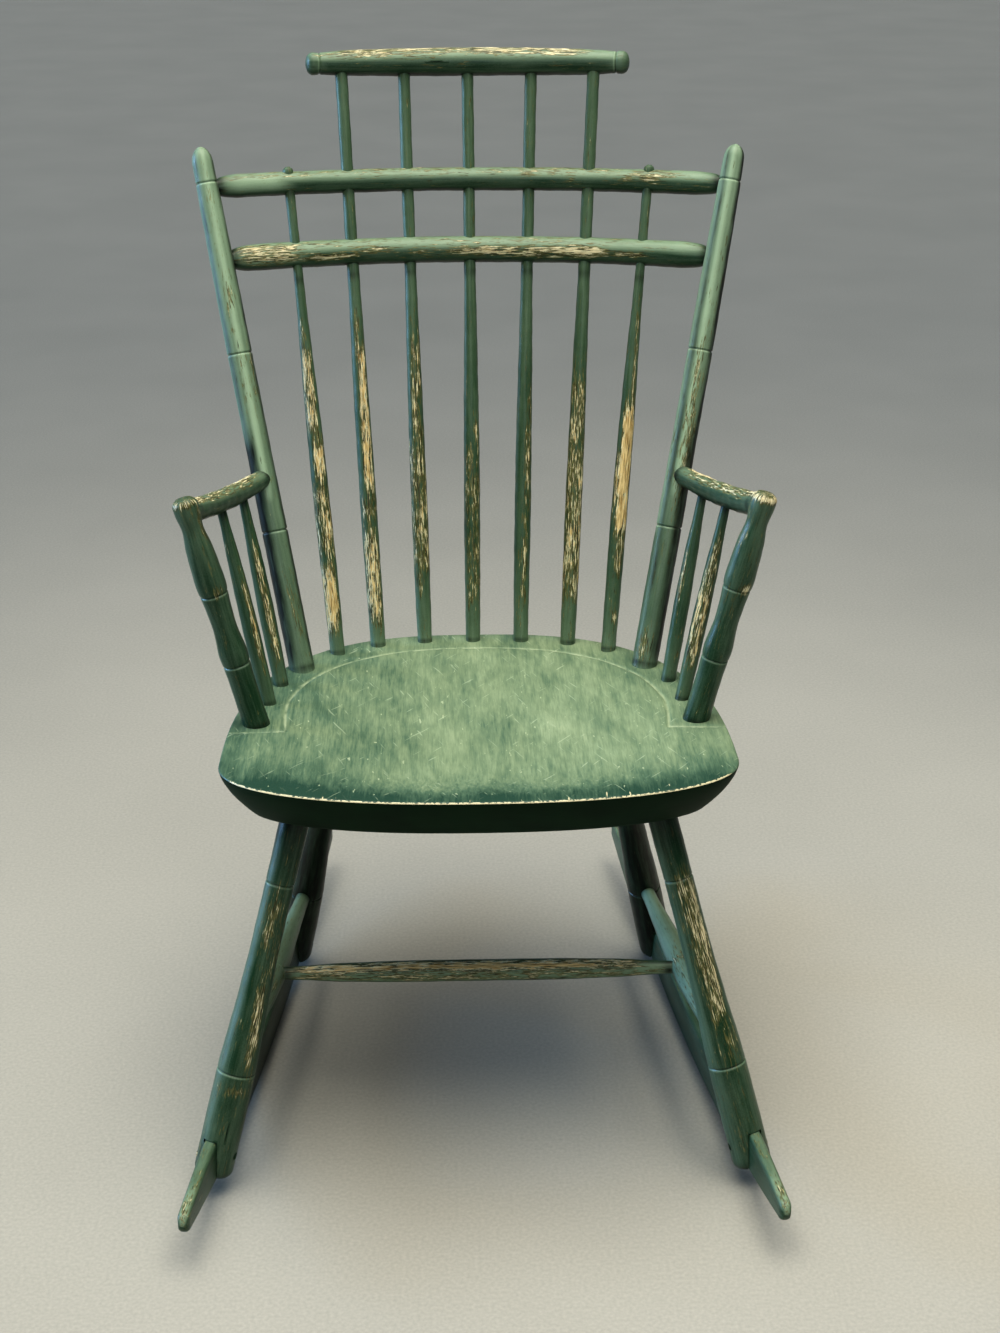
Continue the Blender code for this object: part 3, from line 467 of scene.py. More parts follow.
ROCKER_REACH = 0.3677  # half length
ROCKER_SWEEP = 1.60
ROCKER_SOLE = 0.060
ROCKER_DEPTH = 0.041
ROCKER_TIP_DEPTH = 0.018
ROCKER_THICKNESS = 0.0130
ROCKER_TIP_THINNING = 0.14  # share of the thickness that is planed off towards the tips
ROCKER_FULL = 0.2475  # full depth as far as this from the middle
ROCKER_MID_X = 0.2255
ROCKER_TOE = math.radians(7.6)
ROCKER_EASE = 0.0042  # radius of the eased edges
ROCKER_ROUNDING = 0.0085  # the tips are rounded in plan over this length
ROCKER_BLUNTNESS = 0.30  # share of the thickness left at the very tips
ROCKER_STEPS = 150
CORNER_STEPS = 5
RUBBED_FRONT = (0.19, 0.27)  # where the rubbed front of the top edge begins and is full
RUBBED_AND_SHINING_TIP = (0.315, 0.345)
FLOOR_DARKENING = (0.006, 0.010)  # height of the darkened foot of the sides, and how fast the darkening ends
SIDES = (("left", -1), ("right", 1))

# Old oil paint on hardwood, brushed along the stick: deep green with a satin gloss, faded to a chalky
# sage where light and hands reach it, with olive stain, cream undercoat and yellow-brown wood in turn
# at the worn places. The paleness also carries painted light and painted highlights on lit sides and
# tops, and the near-black carries old dirt and painted shade on shaded sides and undersides.
PAINT_PATTERNS = {
    # name: (width across the grain in metres, shortening along it, detail)
    "flake": (0.0013, 0.12, 6.0),  # flakes of lost paint
    "patch": (0.0060, 0.14, 3.0),
    "fibre": (0.0008, 0.05, 3.0),  # drawn two or three times too coarse, so that it shows
    "brush": (0.0030, 0.05, 4.0),
    "mottle": (0.0140, 0.25, 4.0),  # uneven thickness of the paint
    "dust": (0.0011, 1.00, 2.0),
}
PAINT_LIMITS = {
    # what is drawn: (where its pattern begins and is full, what it gives at both)
    "fade": (0.41, 1.41),
    "fibre": (0.36, 0.60),
    "stain": (1.48, 1.66, 0.0, 0.90),
    "cream": (2.35, 2.44),
    "wood": (1.86, 1.98),
    "dirt": (0.05, 0.55, 0.0, 0.94),
}


def worn_finish(name, deep, light, gloss, wood_dark, wood_light):
    """Paint that goes from deep to light, partly as painted light, and wears off to wood between these two
    tones.
    """
    material, tree, shader = new_material(name)
    grain = read_mark(tree, "grain", "Vector")
    drawn = {}
    for part, (width, shorten, detail) in PAINT_PATTERNS.items():
        laid = add(tree, "VectorMath", {"operation": "MULTIPLY"}, {
            "Vector": grain, "Vector_001": (1, 1, shorten)})
        drawn[part] = noise(tree, laid, width, detail, 0.6)
    worn = add_shares(tree, read_mark(tree, "bare"), ((drawn["flake"], 1.7), (drawn["patch"], 0.9)))
    # Paleness: faded paint, and painted light and painted highlights where the marks give them.
    fade = add_shares(tree, read_mark(tree, "faded"), (
        (drawn["brush"], 0.36), (drawn["mottle"], 0.30), (drawn["dust"], 0.16)))
    fade = ramp(tree, fade, *PAINT_LIMITS["fade"])
    fibre = ramp(tree, drawn["fibre"], *PAINT_LIMITS["fibre"])
    dirty_wood = blend(tree, fibre, "1c1d0d", "87824f")
    clean_wood = blend(tree, fibre, wood_dark, wood_light)
    stain = ramp(tree, worn, *PAINT_LIMITS["stain"])
    cream = ramp(tree, add_shares(tree, worn, ((drawn["fibre"], 1.1),)), *PAINT_LIMITS["cream"])
    wood = ramp(tree, worn, *PAINT_LIMITS["wood"])
    # Near-black: old dirt, and painted shade where the marks give it.
    dirt = combine(tree, "MULTIPLY", read_mark(tree, "grime"), drawn["patch"])
    dirt = ramp(tree, dirt, *PAINT_LIMITS["dirt"])
    colour = blend(tree, fade, deep, light)
    for share, layer in ((stain, dirty_wood), (cream, "efe9c2"), (wood, clean_wood), (dirt, "080c07")):
        colour = blend(tree, share, colour, layer)
    matt = ramp(tree, cream, 0.0, 1.0, gloss, 0.60)
    matt = add_shares(tree, matt, ((drawn["brush"], 0.14), (fade, 0.12)))
    height = add_shares(tree, drawn["fibre"], ((cream, -0.8), (drawn["brush"], 0.7)))
    relief = add(tree, "Bump", {}, {"Height": height, "Strength": 0.5, "Distance": 0.00035})
    set_shader(tree, shader, Base_Color=colour, Roughness=matt, Normal=relief, IOR=1.5,
               Specular_IOR_Level=0.3)  # dulled by fine dirt
    return material


paints["green_paint"] = worn_finish(
    "brushed_green_oil_paint", "1b3d26", "a6c0a1", 0.26, "9c8a55", "f4e9c0")


def rocker_surface(side, grow):
    """Points, faces and marks of a rocker, or of the slightly larger cutter for the slots."""
    nose = ROCKER_TIP_DEPTH / 2
    body = ROCKER_REACH - nose
    tip_turns = np.linspace(0.0, math.pi / 2, 12)[:-1]
    half = np.concatenate((np.linspace(0.0, body, ROCKER_STEPS // 2)[:-1], body + nose * np.sin(tip_turns)))
    along = np.concatenate((-half[:0:-1], half))
    out = np.abs(along)
    inner = np.minimum(out, body)
    flat = ROCKER_SWEEP - math.sqrt(ROCKER_SWEEP ** 2 - (ROCKER_SOLE / 2) ** 2)
    sole = np.maximum(ROCKER_SWEEP - np.sqrt(ROCKER_SWEEP ** 2 - inner ** 2) - flat, 0.0)
    taper = np.maximum(inner - ROCKER_FULL, 0.0) / (ROCKER_REACH - ROCKER_FULL)
    depth = ROCKER_DEPTH + (ROCKER_TIP_DEPTH - ROCKER_DEPTH) * taper ** 1.4
    half_depth = depth / 2 * np.sqrt(np.maximum(1 - (np.maximum(out - body, 0.0) / nose) ** 2, 0.0)) + grow
    rounding = np.maximum(out - ROCKER_REACH + ROCKER_ROUNDING, 0.0) / ROCKER_ROUNDING
    slimmer = 1 - ROCKER_TIP_THINNING * smooth_step(ROCKER_FULL, ROCKER_REACH, out)
    rounded = np.sqrt(1 - np.minimum(rounding, 1.0) ** 2)
    half_thick = ROCKER_THICKNESS / 2 * slimmer * (ROCKER_BLUNTNESS + (1 - ROCKER_BLUNTNESS) * rounded)
    ease = np.minimum(ROCKER_EASE, 0.8 * np.minimum(half_depth, half_thick))
    if grow:
        half_thick = np.full(len(along), ROCKER_THICKNESS / 2 + grow)
        ease = np.zeros(len(along))
    quarters = np.repeat(np.arange(4) * math.pi / 2, CORNER_STEPS)
    corner = quarters + np.tile(np.linspace(0.0, math.pi / 2, CORNER_STEPS), 4)
    outward = quarters + math.pi / 4
    across = (half_thick - ease)[:, None] * np.sign(np.cos(outward)) + ease[:, None] * np.cos(corner)
    up = (half_depth - ease)[:, None] * np.sign(np.sin(outward)) + ease[:, None] * np.sin(corner)
    height = (sole + depth / 2)[:, None] + up
    along = np.repeat(along[:, None], len(corner), axis=1)
    top_edge = np.maximum(0.0, np.sin(corner)) ** 2
    front = smooth_step(*RUBBED_FRONT, -along)
    tip = smooth_step(*RUBBED_AND_SHINING_TIP, np.abs(along))
    dirty_height, dirt_end = FLOOR_DARKENING
    # The top edge is painted paler all along, as painted light, and more at its front and tips, where the
    # paint is rubbed and has a painted sheen. The sides and bottom are darker near the floor.
    marks = {
        "grain": np.stack((across, up, along), axis=-1).reshape(-1, 3) + (0.3 * side, 1.0, 2.0),
        "bare": (top_edge * (0.08 * front + 0.20 * tip)).ravel(),
        "faded": (0.06 + top_edge * (0.12 + 0.14 * front + 0.32 * tip)).ravel(),
        "grime": (0.55 * (1 - top_edge) * np.exp(-np.maximum(height - dirty_height, 0.0) / dirt_end)).ravel(),
    }
    swing = side * ROCKER_TOE
    x = side * ROCKER_MID_X - across * math.cos(swing) - along * math.sin(swing)
    y = along * math.cos(swing) - across * math.sin(swing)
    return np.stack((x, y, height), axis=-1).reshape(-1, 3), ring_faces(*across.shape), marks


for label, side in SIDES:
    make_piece("rocker_" + label, "green_paint", *rocker_surface(side, 0.0))


# Legs: turned maple, bamboo fashion, with a ring cut near the top and another at the stretcher, and
# swelling to a stout foot. The foot is slotted to straddle its rocker and pinned across.

END_BAND = 0.0015  # CAD points this near the end of a stick belong to that end
RING_DEPTH = 0.0012
RING_HALF_WIDTH = 0.0009
RING_LIP = 0.0014  # the lower lip is paler, as rubbed paint and a painted highlight, this far from the middle
RING_STEPS = np.arange(-0.0045, 0.0046, 0.0005)  # mesh rings beside a cut one
LIP_PALENESS = 0.27
RING_DIRT = 0.30
STICK_STEP = 0.0030  # spacing of the mesh rings along a stick
STICK_TURNS = 40
END_STEPS = np.array((0.0, 0.0004, 0.001, 0.0018, 0.003, 0.0045, 0.006))  # mesh rings near both ends
LUMP_LENGTHS = (0.047, 0.019)
LUMP_TWIST = 40  # radians per metre
WOBBLY_RADIUS = 0.004  # thinner places are less uneven
DARK_SPOT_HEART = 0.001  # the dark spots, old dirt and painted shade, are full this near to their place
PATCH_END = 0.02  # a worn patch fades out over this length to each side of its ends
PATCH_EDGE = 0.35  # and over this angle to each side of its edges, in radians
FRONT, UP = (0.0, -1.0, 0.0), (0.0, 0.0, 1.0)


def node_corners(node):
    """All the points of a CAD node."""
    return np.array([tuple(corner.co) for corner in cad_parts[node].data.vertices])


def end_centres(corners, along, band):
    """Centres of the points that lie within a band of each end, by how far along they are."""
    return (corners[along < along.min() + band].mean(axis=0),
            corners[along > along.max() - band].mean(axis=0))


def stick_ends(node, way=(0.2, 0.0, 1.0)):
    """Centres of the two ends of a CAD stick, in their order along the way given, and its length."""
    corners = node_corners(node)
    middle = corners.mean(axis=0)
    along = (corners - middle) @ np.linalg.svd(corners - middle, full_matrices=False)[2][0]
    start, end = sorted(end_centres(corners, along, END_BAND), key=lambda place: place @ np.array(way))
    return start, end, np.linalg.norm(end - start)


def eased(stations, distances):
    """Smooth radii through (distance, radius) stations, without overshoot."""
    knots, values = np.transpose(stations)
    gaps = np.diff(knots)
    slopes = np.diff(values) / gaps
    tangents = np.zeros(len(knots))
    for i in range(1, len(knots) - 1):
        before, after = slopes[i - 1], slopes[i]
        tangents[i] = 0.0 if before * after <= 0 else 2 * before * after / (before + after)
    at = np.clip(np.searchsorted(knots, distances, "right") - 1, 0, len(gaps) - 1)
    share = (distances - knots[at]) / gaps[at]
    bend = gaps[at] * share * (1 - share) * ((1 - share) * tangents[at] - share * tangents[at + 1])
    return values[at] + (values[at + 1] - values[at]) * smooth_step(0.0, 1.0, share) + bend


def round_piece(line, stations, rings=(), wear=(), fades=(), fade=0.1, dirt=(), shade=(), seed=0,
                wobble=0.0, bow=0.0, facing=FRONT):
    """Points, faces and marks of a round stick or bent rail along a line.

    The stations are (distance, radius) along it and the rings are distances of cut grooves. Wear, the
    paler patches and shade list (from, to, angle, half angle, amount), where the angle is from the facing
    side: towards the right of an upright stick or of an arm, and towards the underside of a rail. The paler
    patches are faded paint, and also painted light and painted highlights on lit sides and tops; shade is
    painted shade on shaded sides and undersides. The general paleness, partly painted light, is one value
    or a list of (distance, paleness). The dark spots list (distance, reach, amount): grimy joints, and
    painted shade just under the seat.
    """
    chance = np.random.default_rng(seed)
    line = np.asarray(line, float)
    steps = walk(line)
    whole = steps[-1]
    distances = np.concatenate([np.arange(0.0, whole, STICK_STEP), *(ring + RING_STEPS for ring in rings),
                                END_STEPS, whole - END_STEPS])
    distances = np.unique(np.round(np.clip(distances, 0.0, whole), 5))
    centre = np.column_stack([np.interp(distances, steps, line[:, i]) for i in range(3)])
    forward = unit(np.gradient(centre, distances, axis=0))
    front = unit(np.array(facing) - forward * (forward @ np.array(facing))[:, None])
    right = np.cross(forward, front)
    lean = chance.uniform(0.0, math.tau)
    sway = bow * np.sin(math.pi * distances / whole)
    centre = centre + sway[:, None] * (math.cos(lean) * front + math.sin(lean) * right)
    groove, lip = np.zeros((2, len(distances)))
    for ring in rings:
        groove = np.maximum(groove, np.exp(-((distances - ring) / RING_HALF_WIDTH) ** 2))
        lip = np.maximum(lip, np.exp(-((distances - ring + RING_LIP) / RING_HALF_WIDTH) ** 2))
    radius = eased(stations, distances) - RING_DEPTH * groove
    turns = np.arange(STICK_TURNS) * math.tau / STICK_TURNS
    turns = np.where(turns > math.pi, turns - math.tau, turns)
    s, turn = np.meshgrid(distances, turns, indexing="ij")
    long_lump, short_lump, oval, twist, _ = chance.uniform(0.0, math.tau, 5)
    uneven = wobble * (0.5 * np.sin(s * math.tau / LUMP_LENGTHS[0] + long_lump)
                       + 0.35 * np.sin(s * math.tau / LUMP_LENGTHS[1] + short_lump)
                       + 0.7 * np.cos(2 * turn + oval) + 0.4 * np.sin(3 * turn + s * LUMP_TWIST + twist))
    edge = radius[:, None] + uneven * np.minimum(1.0, radius[:, None] / WOBBLY_RADIUS)
    points = (centre[:, None, :] + edge[..., None] * (np.cos(turn)[..., None] * front[:, None, :]
                                                      + np.sin(turn)[..., None] * right[:, None, :]))

    def patches(places):
        """The strongest of these patches at each point."""
        total = np.zeros(s.shape)
        for start, end, angle, half, amount in places:
            soft = min(PATCH_END, (end - start) / 2)
            along = smooth_step(start - soft, start + soft, s) * (1 - smooth_step(end - soft, end + soft, s))
            off = np.abs((turn - math.radians(angle) + math.pi) % math.tau - math.pi)
            edge_turn = math.radians(half)
            round_it = 1 - smooth_step(edge_turn - PATCH_EDGE, edge_turn + PATCH_EDGE, off)
            total = np.maximum(total, amount * along * round_it)
        return total

    grime = np.maximum(RING_DIRT * groove[:, None], patches(shade))
    for spot, reach, amount in dirt:
        off = np.maximum(np.abs(s - spot) - DARK_SPOT_HEART, 0.0)
        grime = np.maximum(grime, amount * np.exp(-off / reach))
    paleness = np.interp(distances, *np.transpose(fade)) if np.ndim(fade) else np.full(len(distances), fade)
    faded = np.maximum(patches(fades), paleness[:, None]) + LIP_PALENESS * lip[:, None]
    shift = chance.uniform(-3.0, 3.0, 3)
    mean = radius.mean()
    grains = np.stack((mean * np.cos(turn), mean * np.sin(turn), s), axis=-1) + shift
    marks = {"grain": grains.reshape(-1, 3), "bare": patches(wear).ravel(), "grime": grime.ravel(),
             "faded": faded.ravel()}
    return points.reshape(-1, 3), ring_faces(*s.shape), marks


def make_stick(name, slot, line, stations, **finish):
    """A round piece for the CAD node of this name."""
    return make_piece(name, slot, *round_piece(line, stations, **finish))


def drying_split(spot, along, out, length, height, depth):
    """Points and faces of the wedge that a split in the wood leaves open, along the grain."""
    along, out = unit(along), unit(out)
    up = np.cross(out, along)
    points = []
    shares = np.linspace(-0.98, 0.98, 9)
    for share in shares:
        opening = 1 - share ** 2
        middle = spot + along * share * length / 2 + out * depth
        points += [middle + up * height * opening, middle - up * height * opening,
                   middle - out * depth * (1 + opening)]
    return points, ring_faces(len(shares), 3)


def cut_away(piece, *cutters):
    """Cut shapes out of a piece for good and remove the cutters."""
    for number, (points, faces) in enumerate(cutters):
        mesh = bpy.data.meshes.new(f"{piece.name}_cutter_{number}")
        mesh.from_pydata(points, [], faces)
        cutter = bpy.data.objects.new(mesh.name, mesh)
        bpy.context.scene.collection.objects.link(cutter)
        modifier = piece.modifiers.new("cut", "BOOLEAN")
        modifier.operation = "DIFFERENCE"
        modifier.solver = "EXACT"
        modifier.object = cutter
        bpy.context.view_layer.update()
        cut = bpy.data.meshes.new_from_object(piece.evaluated_get(bpy.context.evaluated_depsgraph_get()))
        piece.modifiers.clear()
        old = piece.data
        piece.data = cut
        cut.name = old.name
        bpy.data.meshes.remove(old)
        bpy.data.objects.remove(cutter, do_unlink=True)
        bpy.data.meshes.remove(mesh)
    piece.data.set_sharp_from_angle(angle=math.radians(45))


SLOT_EASE = 0.0004  # room between the foot's cheeks and the rocker
PIN_BORE = 0.0037
BORE_PAST = 0.3  # the bore's cutter runs past the pin by this share of it
LEG_SOCKET = 0.027
LEG_RINGS = (0.072, 0.262)  # down from the underside of the seat
LEG_SPLIT = (0.024, 0.0007, 0.004)  # length, half height and depth
LEG_SPLIT_UP = 0.13  # share of the way up the left front leg
LEG_SPLIT_SIDE = (0.004, -0.0182, 0.0)  # from the middle of the leg
LEG_SPLIT_FACING = (0.2, -1.0, 0.2)
LEG_WEAR = {
    # name: wear from the foot up, as (from, to, angle, half angle, amount)
    "front_leg_left": ((0.110, 0.205, 25, 20, 0.42), (0.235, 0.290, -5, 26, 0.32),
                       (0.20, 0.28, 40, 20, 0.30), (0.084, 0.096, 10, 30, 0.32)),
    "front_leg_right": ((0.150, 0.305, 20, 32, 0.40), (0.170, 0.295, 42, 16, 0.66),
                        (0.115, 0.15, 30, 26, 0.36)),
    "rear_leg_left": (),
    "rear_leg_right": (),
}
for seed, (name, wear) in enumerate(LEG_WEAR.items(), start=1):
    foot, top, length = stick_ends(name)
    seat_line = length - LEG_SOCKET
    upper, lower = (seat_line - ring for ring in LEG_RINGS)
    waist = upper - lower
    stations = [(0.0, 0.0166), (0.0025, 0.0182), (0.006, 0.0187), (0.5 * lower, 0.0189), (lower, 0.0185),
                (lower + 0.35 * waist, 0.0156), (lower + 0.70 * waist, 0.0139), (upper, 0.0138),
                (seat_line - 0.012, 0.0141), (seat_line, 0.0138), (length, 0.0115)]
    is_front = name.startswith("front")
    # Front legs are paler on the left side, as painted light. Rear legs are darkened all round with painted
    # shade, most in front and at the sides. Every leg darkens just under the seat, partly old dirt at the
    # joint and partly painted shade.
    leg_piece = make_stick(
        name, "green_paint", (foot, top), stations, rings=(upper, lower), wear=wear,
        fade=((0.0, 0.10), (0.20, 0.06)), fades=((0.03, 0.34, -70, 40, 0.20),) if is_front else (),
        shade=() if is_front else ((0.0, length, 0, 125, 0.95), (0.0, length, 180, 75, 0.40)),
        dirt=((seat_line, 0.030, 1.2), (0.0, 0.006, 0.7)), seed=seed, wobble=0.00016, bow=0.0004)
    start, end, _ = stick_ends("rocker_pin_" + name.replace("_leg", ""))
    past = (end - start) * BORE_PAST
    bore = round_piece((start - past, end + past), [(0.0, PIN_BORE), (0.1, PIN_BORE)])
    side = dict(SIDES)[name.split("_")[-1]]
    cutters = [rocker_surface(side, SLOT_EASE)[:2], bore[:2]]
    if name == "front_leg_left":
        spot = foot + (top - foot) * LEG_SPLIT_UP + LEG_SPLIT_SIDE
        cutters.append(drying_split(spot, top - foot, LEG_SPLIT_FACING, *LEG_SPLIT))
    cut_away(leg_piece, *cutters)


# Rocker pins: whittled birch dowels driven across the feet to hold the rockers, their ends a little
# below the surface and left unpainted.

PIN_RADIUS = 0.0035
PIN_END = 0.0028
PIN_CHAMFER = 0.0009
PIN_SEEDS = {"front_left": 21, "front_right": 22, "rear_left": 20, "rear_right": 21}
# Bare birch end grain and facets: pale straw with brown fibres, dry and matt.
paints["bare_wood"] = worn_finish("dry_birch", "6d5430", "a98a55", 0.60, "96753f", "cdb079")


def mirrored(stations, length, middle_radius):
    """A half profile, its middle and the same half again, from the other end."""
    return [*stations, (length / 2, middle_radius), *((length - d, r) for d, r in reversed(stations))]


for corner, seed in PIN_SEEDS.items():
    name = "rocker_pin_" + corner
    start, end, length = stick_ends(name)
    half = [(0.0, PIN_END), (PIN_CHAMFER, PIN_RADIUS)]
    make_stick(name, "bare_wood", (start, end), mirrored(half, length, PIN_RADIUS),
               wear=((0.0, length, 0, 200, 1.0),), seed=seed, wobble=0.00008)


# Stretchers: two turned side stretchers, swelling to the middle, let into the legs at their lower
# rings, and a slimmer cross stretcher let into those. Feet have worn its upper side.

STRETCHER_END = 0.0078
STRETCHER_SWELL = 0.0138
CROSS_END = 0.0068
CROSS_SWELL = 0.0112
# The same paint where it went on thin: a little warmer, and off along the grain in many small flakes.
paints["worn_paint"] = worn_finish(
    "thin_green_oil_paint", "1f4128", "9db695", 0.30, "94753c", "f4dca0")
for seed, (label, side) in enumerate(SIDES, start=11):
    name = "side_stretcher_" + label
    front, rear, length = stick_ends(name, way=(0.0, 1.0, 0.0))
    half = [(0.0, STRETCHER_END), (0.022, STRETCHER_END), (0.28 * length, 0.0107), (0.42 * length, 0.0134)]
    # Paler on top, partly faded paint and partly painted light, and darkened underneath with painted shade.
    make_stick(
        name, "green_paint", (front, rear), mirrored(half, length, STRETCHER_SWELL),
        rings=(0.5 * length,), wear=((0.05, 0.20, -40 * side, 40, 0.16),),
        fades=((0.02, length - 0.02, -25 * side, 70, 0.52),), fade=0.12, shade=((0.0, length, 180, 60, 0.8),),
        dirt=((0.020, 0.006, 0.8), (length - 0.020, 0.006, 0.8)), seed=seed, wobble=0.00014, bow=0.0006,
        facing=UP)

start, end, length = stick_ends("cross_stretcher", way=(1.0, 0.0, 0.0))
half = [(0.0, CROSS_END), (0.011, CROSS_END), (0.16 * length, 0.0096), (0.36 * length, CROSS_SWELL)]
# Darkened underneath with painted shade.
make_stick(
    "cross_stretcher", "worn_paint", (start, end), mirrored(half, length, CROSS_SWELL),
    wear=((0.02, length - 0.04, -62, 34, 0.60), (0.05, length - 0.08, -54, 18, 0.84),
          (0.02, length - 0.02, 5, 34, 0.33)),
    fades=((0.0, length, -10, 55, 0.66),), shade=((0.0, length, 95, 55, 0.9),),
    dirt=((0.013, 0.006, 0.8), (length - 0.013, 0.006, 0.8)), seed=13, wobble=0.00014, bow=0.0008)


# Back posts: turned maple with three cut rings and a rounded top, socketed in the seat and splayed
# out and back. They carry the two bent rails and the rear ends of the arms.

STICK_SOCKET = 0.026  # depth of the sticks in the seat
POST_RING_SHARES = (0.302, 0.628, 0.936)
# The rounded top, as (down from the top, radius).
POST_NOSE = ((0.015, 0.0105), (0.009, 0.0096), (0.0045, 0.0074), (0.0016, 0.0050), (0.0, 0.0026))
REAR_WEAR = ((0.28, 0.46, 180, 40, 0.27), (0.08, 0.16, 150, 40, 0.24))
POST_WEAR = {
    "back_post_left": ((0.06, 0.12, 40, 25, 0.20), (0.40, 0.425, 20, 12, 0.44), (0.30, 0.36, 60, 20, 0.28)),
    "back_post_right": ((0.030, 0.055, -30, 30, 0.34), (0.20, 0.36, 5, 30, 0.24), (0.42, 0.43, 60, 15, 0.44)),
}
POST_BANDS = {
    # name: (angle of the painted highlight, angle, half angle and amount of the painted shade, and of the
    # painted shade lower down)
    "back_post_left": (14, (92, 28, 1.0), (-58, 48, 1.1)),
    "back_post_right": (-12, (76, 40, 1.1), (56, 44, 0.85)),
}
for seed, (name, wear) in enumerate(POST_WEAR.items(), start=21):
    foot, top, length = stick_ends(name)
    rings = [length * share for share in POST_RING_SHARES]
    low, mid, high = rings
    stations = [(0.0, 0.0130), (STICK_SOCKET, 0.0131), (low, 0.0132), ((low + mid) / 2, 0.0126),
                (mid, 0.0126), (0.83 * length, 0.0118), (high - 0.004, 0.0111), (high + 0.004, 0.0109),
                *((length - down, radius) for down, radius in POST_NOSE)]
    highlight_angle, shade, low_shade = POST_BANDS[name]
    # The left edge and the palest side are painted highlights, with painted shade in the narrow band between
    # them, on the far side and lower down; the paint also grows paler upwards, partly as painted light.
    make_stick(
        name, "green_paint", (foot, top), stations, rings=rings, wear=wear + REAR_WEAR,
        fade=((0.03, 0.36), (0.09, 0.28), (0.20, 0.38), (0.40, 0.58), (length, 0.66)),
        fades=((0.16, length, -85, 22, 0.90), (0.20, length, highlight_angle, 22, 0.98)),
        shade=((0.03, length, *shade), (0.03, 0.27, *low_shade), (0.10, length, -44, 12, 0.75)),
        dirt=((STICK_SOCKET, 0.003, 0.7),), seed=seed, wobble=0.00015, bow=0.0006)


# Bent rails: two rods, steamed and bent to one bow, rounded down to the tenons in the posts. The
# spindles pass through them. Backs and hands have worn them to the undercoat along the front.

RAIL_END = 0.0078
RAIL_TENON = 0.0158
RAIL_SHOULDER = 0.027
RAIL_END_BAND = 0.0012  # CAD points this near the end of a rail belong to that end
BOW_STEPS = 90
seat_normal = np.array((0.0, math.sin(SEAT_TILT), math.cos(SEAT_TILT)))
middle_foot, middle_top, _ = stick_ends("back_spindle_4")


def bowed_line(node):
    """Centre-line of a bent rail: a circular arc through its two ends and the middle spindle."""
    corners = node_corners(node)
    start, end = end_centres(corners, corners[:, 0], RAIL_END_BAND)
    axis = middle_top - middle_foot
    share = ((start - middle_foot) @ seat_normal) / (axis @ seat_normal)
    middle = middle_foot + axis * share
    rise = middle - (start + end) / 2
    half, height = np.linalg.norm(end - start) / 2, np.linalg.norm(rise)
    along, out = (end - start) / (2 * half), rise / height
    radius = (half ** 2 + height ** 2) / (2 * height)
    swing = math.asin(half / radius)
    turns = np.linspace(-swing, swing, BOW_STEPS)[:, None]
    return middle - out * radius + radius * (np.sin(turns) * along + np.cos(turns) * out)


RAILS = {
    # name: (middle radius, wear), along from the left end
    "lower_back_rail": (0.0133, (
        (0.020, 0.085, -25, 46, 0.52), (0.085, 0.140, 5, 20, 0.46), (0.14, 0.19, -20, 18, 0.40),
        (0.20, 0.235, -5, 15, 0.54), (0.24, 0.32, -5, 20, 0.58), (0.30, 0.41, -5, 24, 0.62),
        (0.41, 0.455, 0, 12, 0.42), (0.02, 0.45, -70, 30, 0.12), (0.05, 0.40, 180, 30, 0.30))),
    "upper_back_rail": (0.0118, (
        (0.435, 0.485, -30, 26, 0.44), (0.325, 0.345, -35, 16, 0.40), (0.02, 0.50, -70, 35, 0.20),
        (0.375, 0.39, -20, 16, 0.38), (0.06, 0.44, -165, 30, 0.32))),
}
for seed, (name, (thick, wear)) in enumerate(RAILS.items(), start=31):
    line = bowed_line(name)
    length = walk(line)[-1]
    half = [(0.0, RAIL_END), (RAIL_TENON, RAIL_END)]
    for share in (0.04, 0.12, 0.25, 0.45, 0.70, 1.0):
        swell = math.sqrt(1 - (1 - share) ** 2)
        half.append((RAIL_TENON + RAIL_SHOULDER * share, RAIL_END + (thick - RAIL_END) * swell))
    # Paler along the top and at the left end, partly faded paint and partly painted light, and darkened
    # underneath with painted shade.
    make_stick(
        name, "green_paint", line, mirrored(half, length, thick), wear=wear,
        fades=((0.02, length - 0.02, -60, 42, 0.58), (0.02, 0.085, -20, 40, 0.80)), fade=0.08,
        shade=((0.0, length, 100, 62, 1.0),),
        dirt=((RAIL_TENON, 0.004, 0.9), (length - RAIL_TENON, 0.004, 0.9)), seed=seed, wobble=0.00024)


# Back spindles: seven whittled and turned hickory sticks from the seat through both rails, the five
# long ones on up to the comb. Backs rubbing on them have taken the paint off in long streaks.

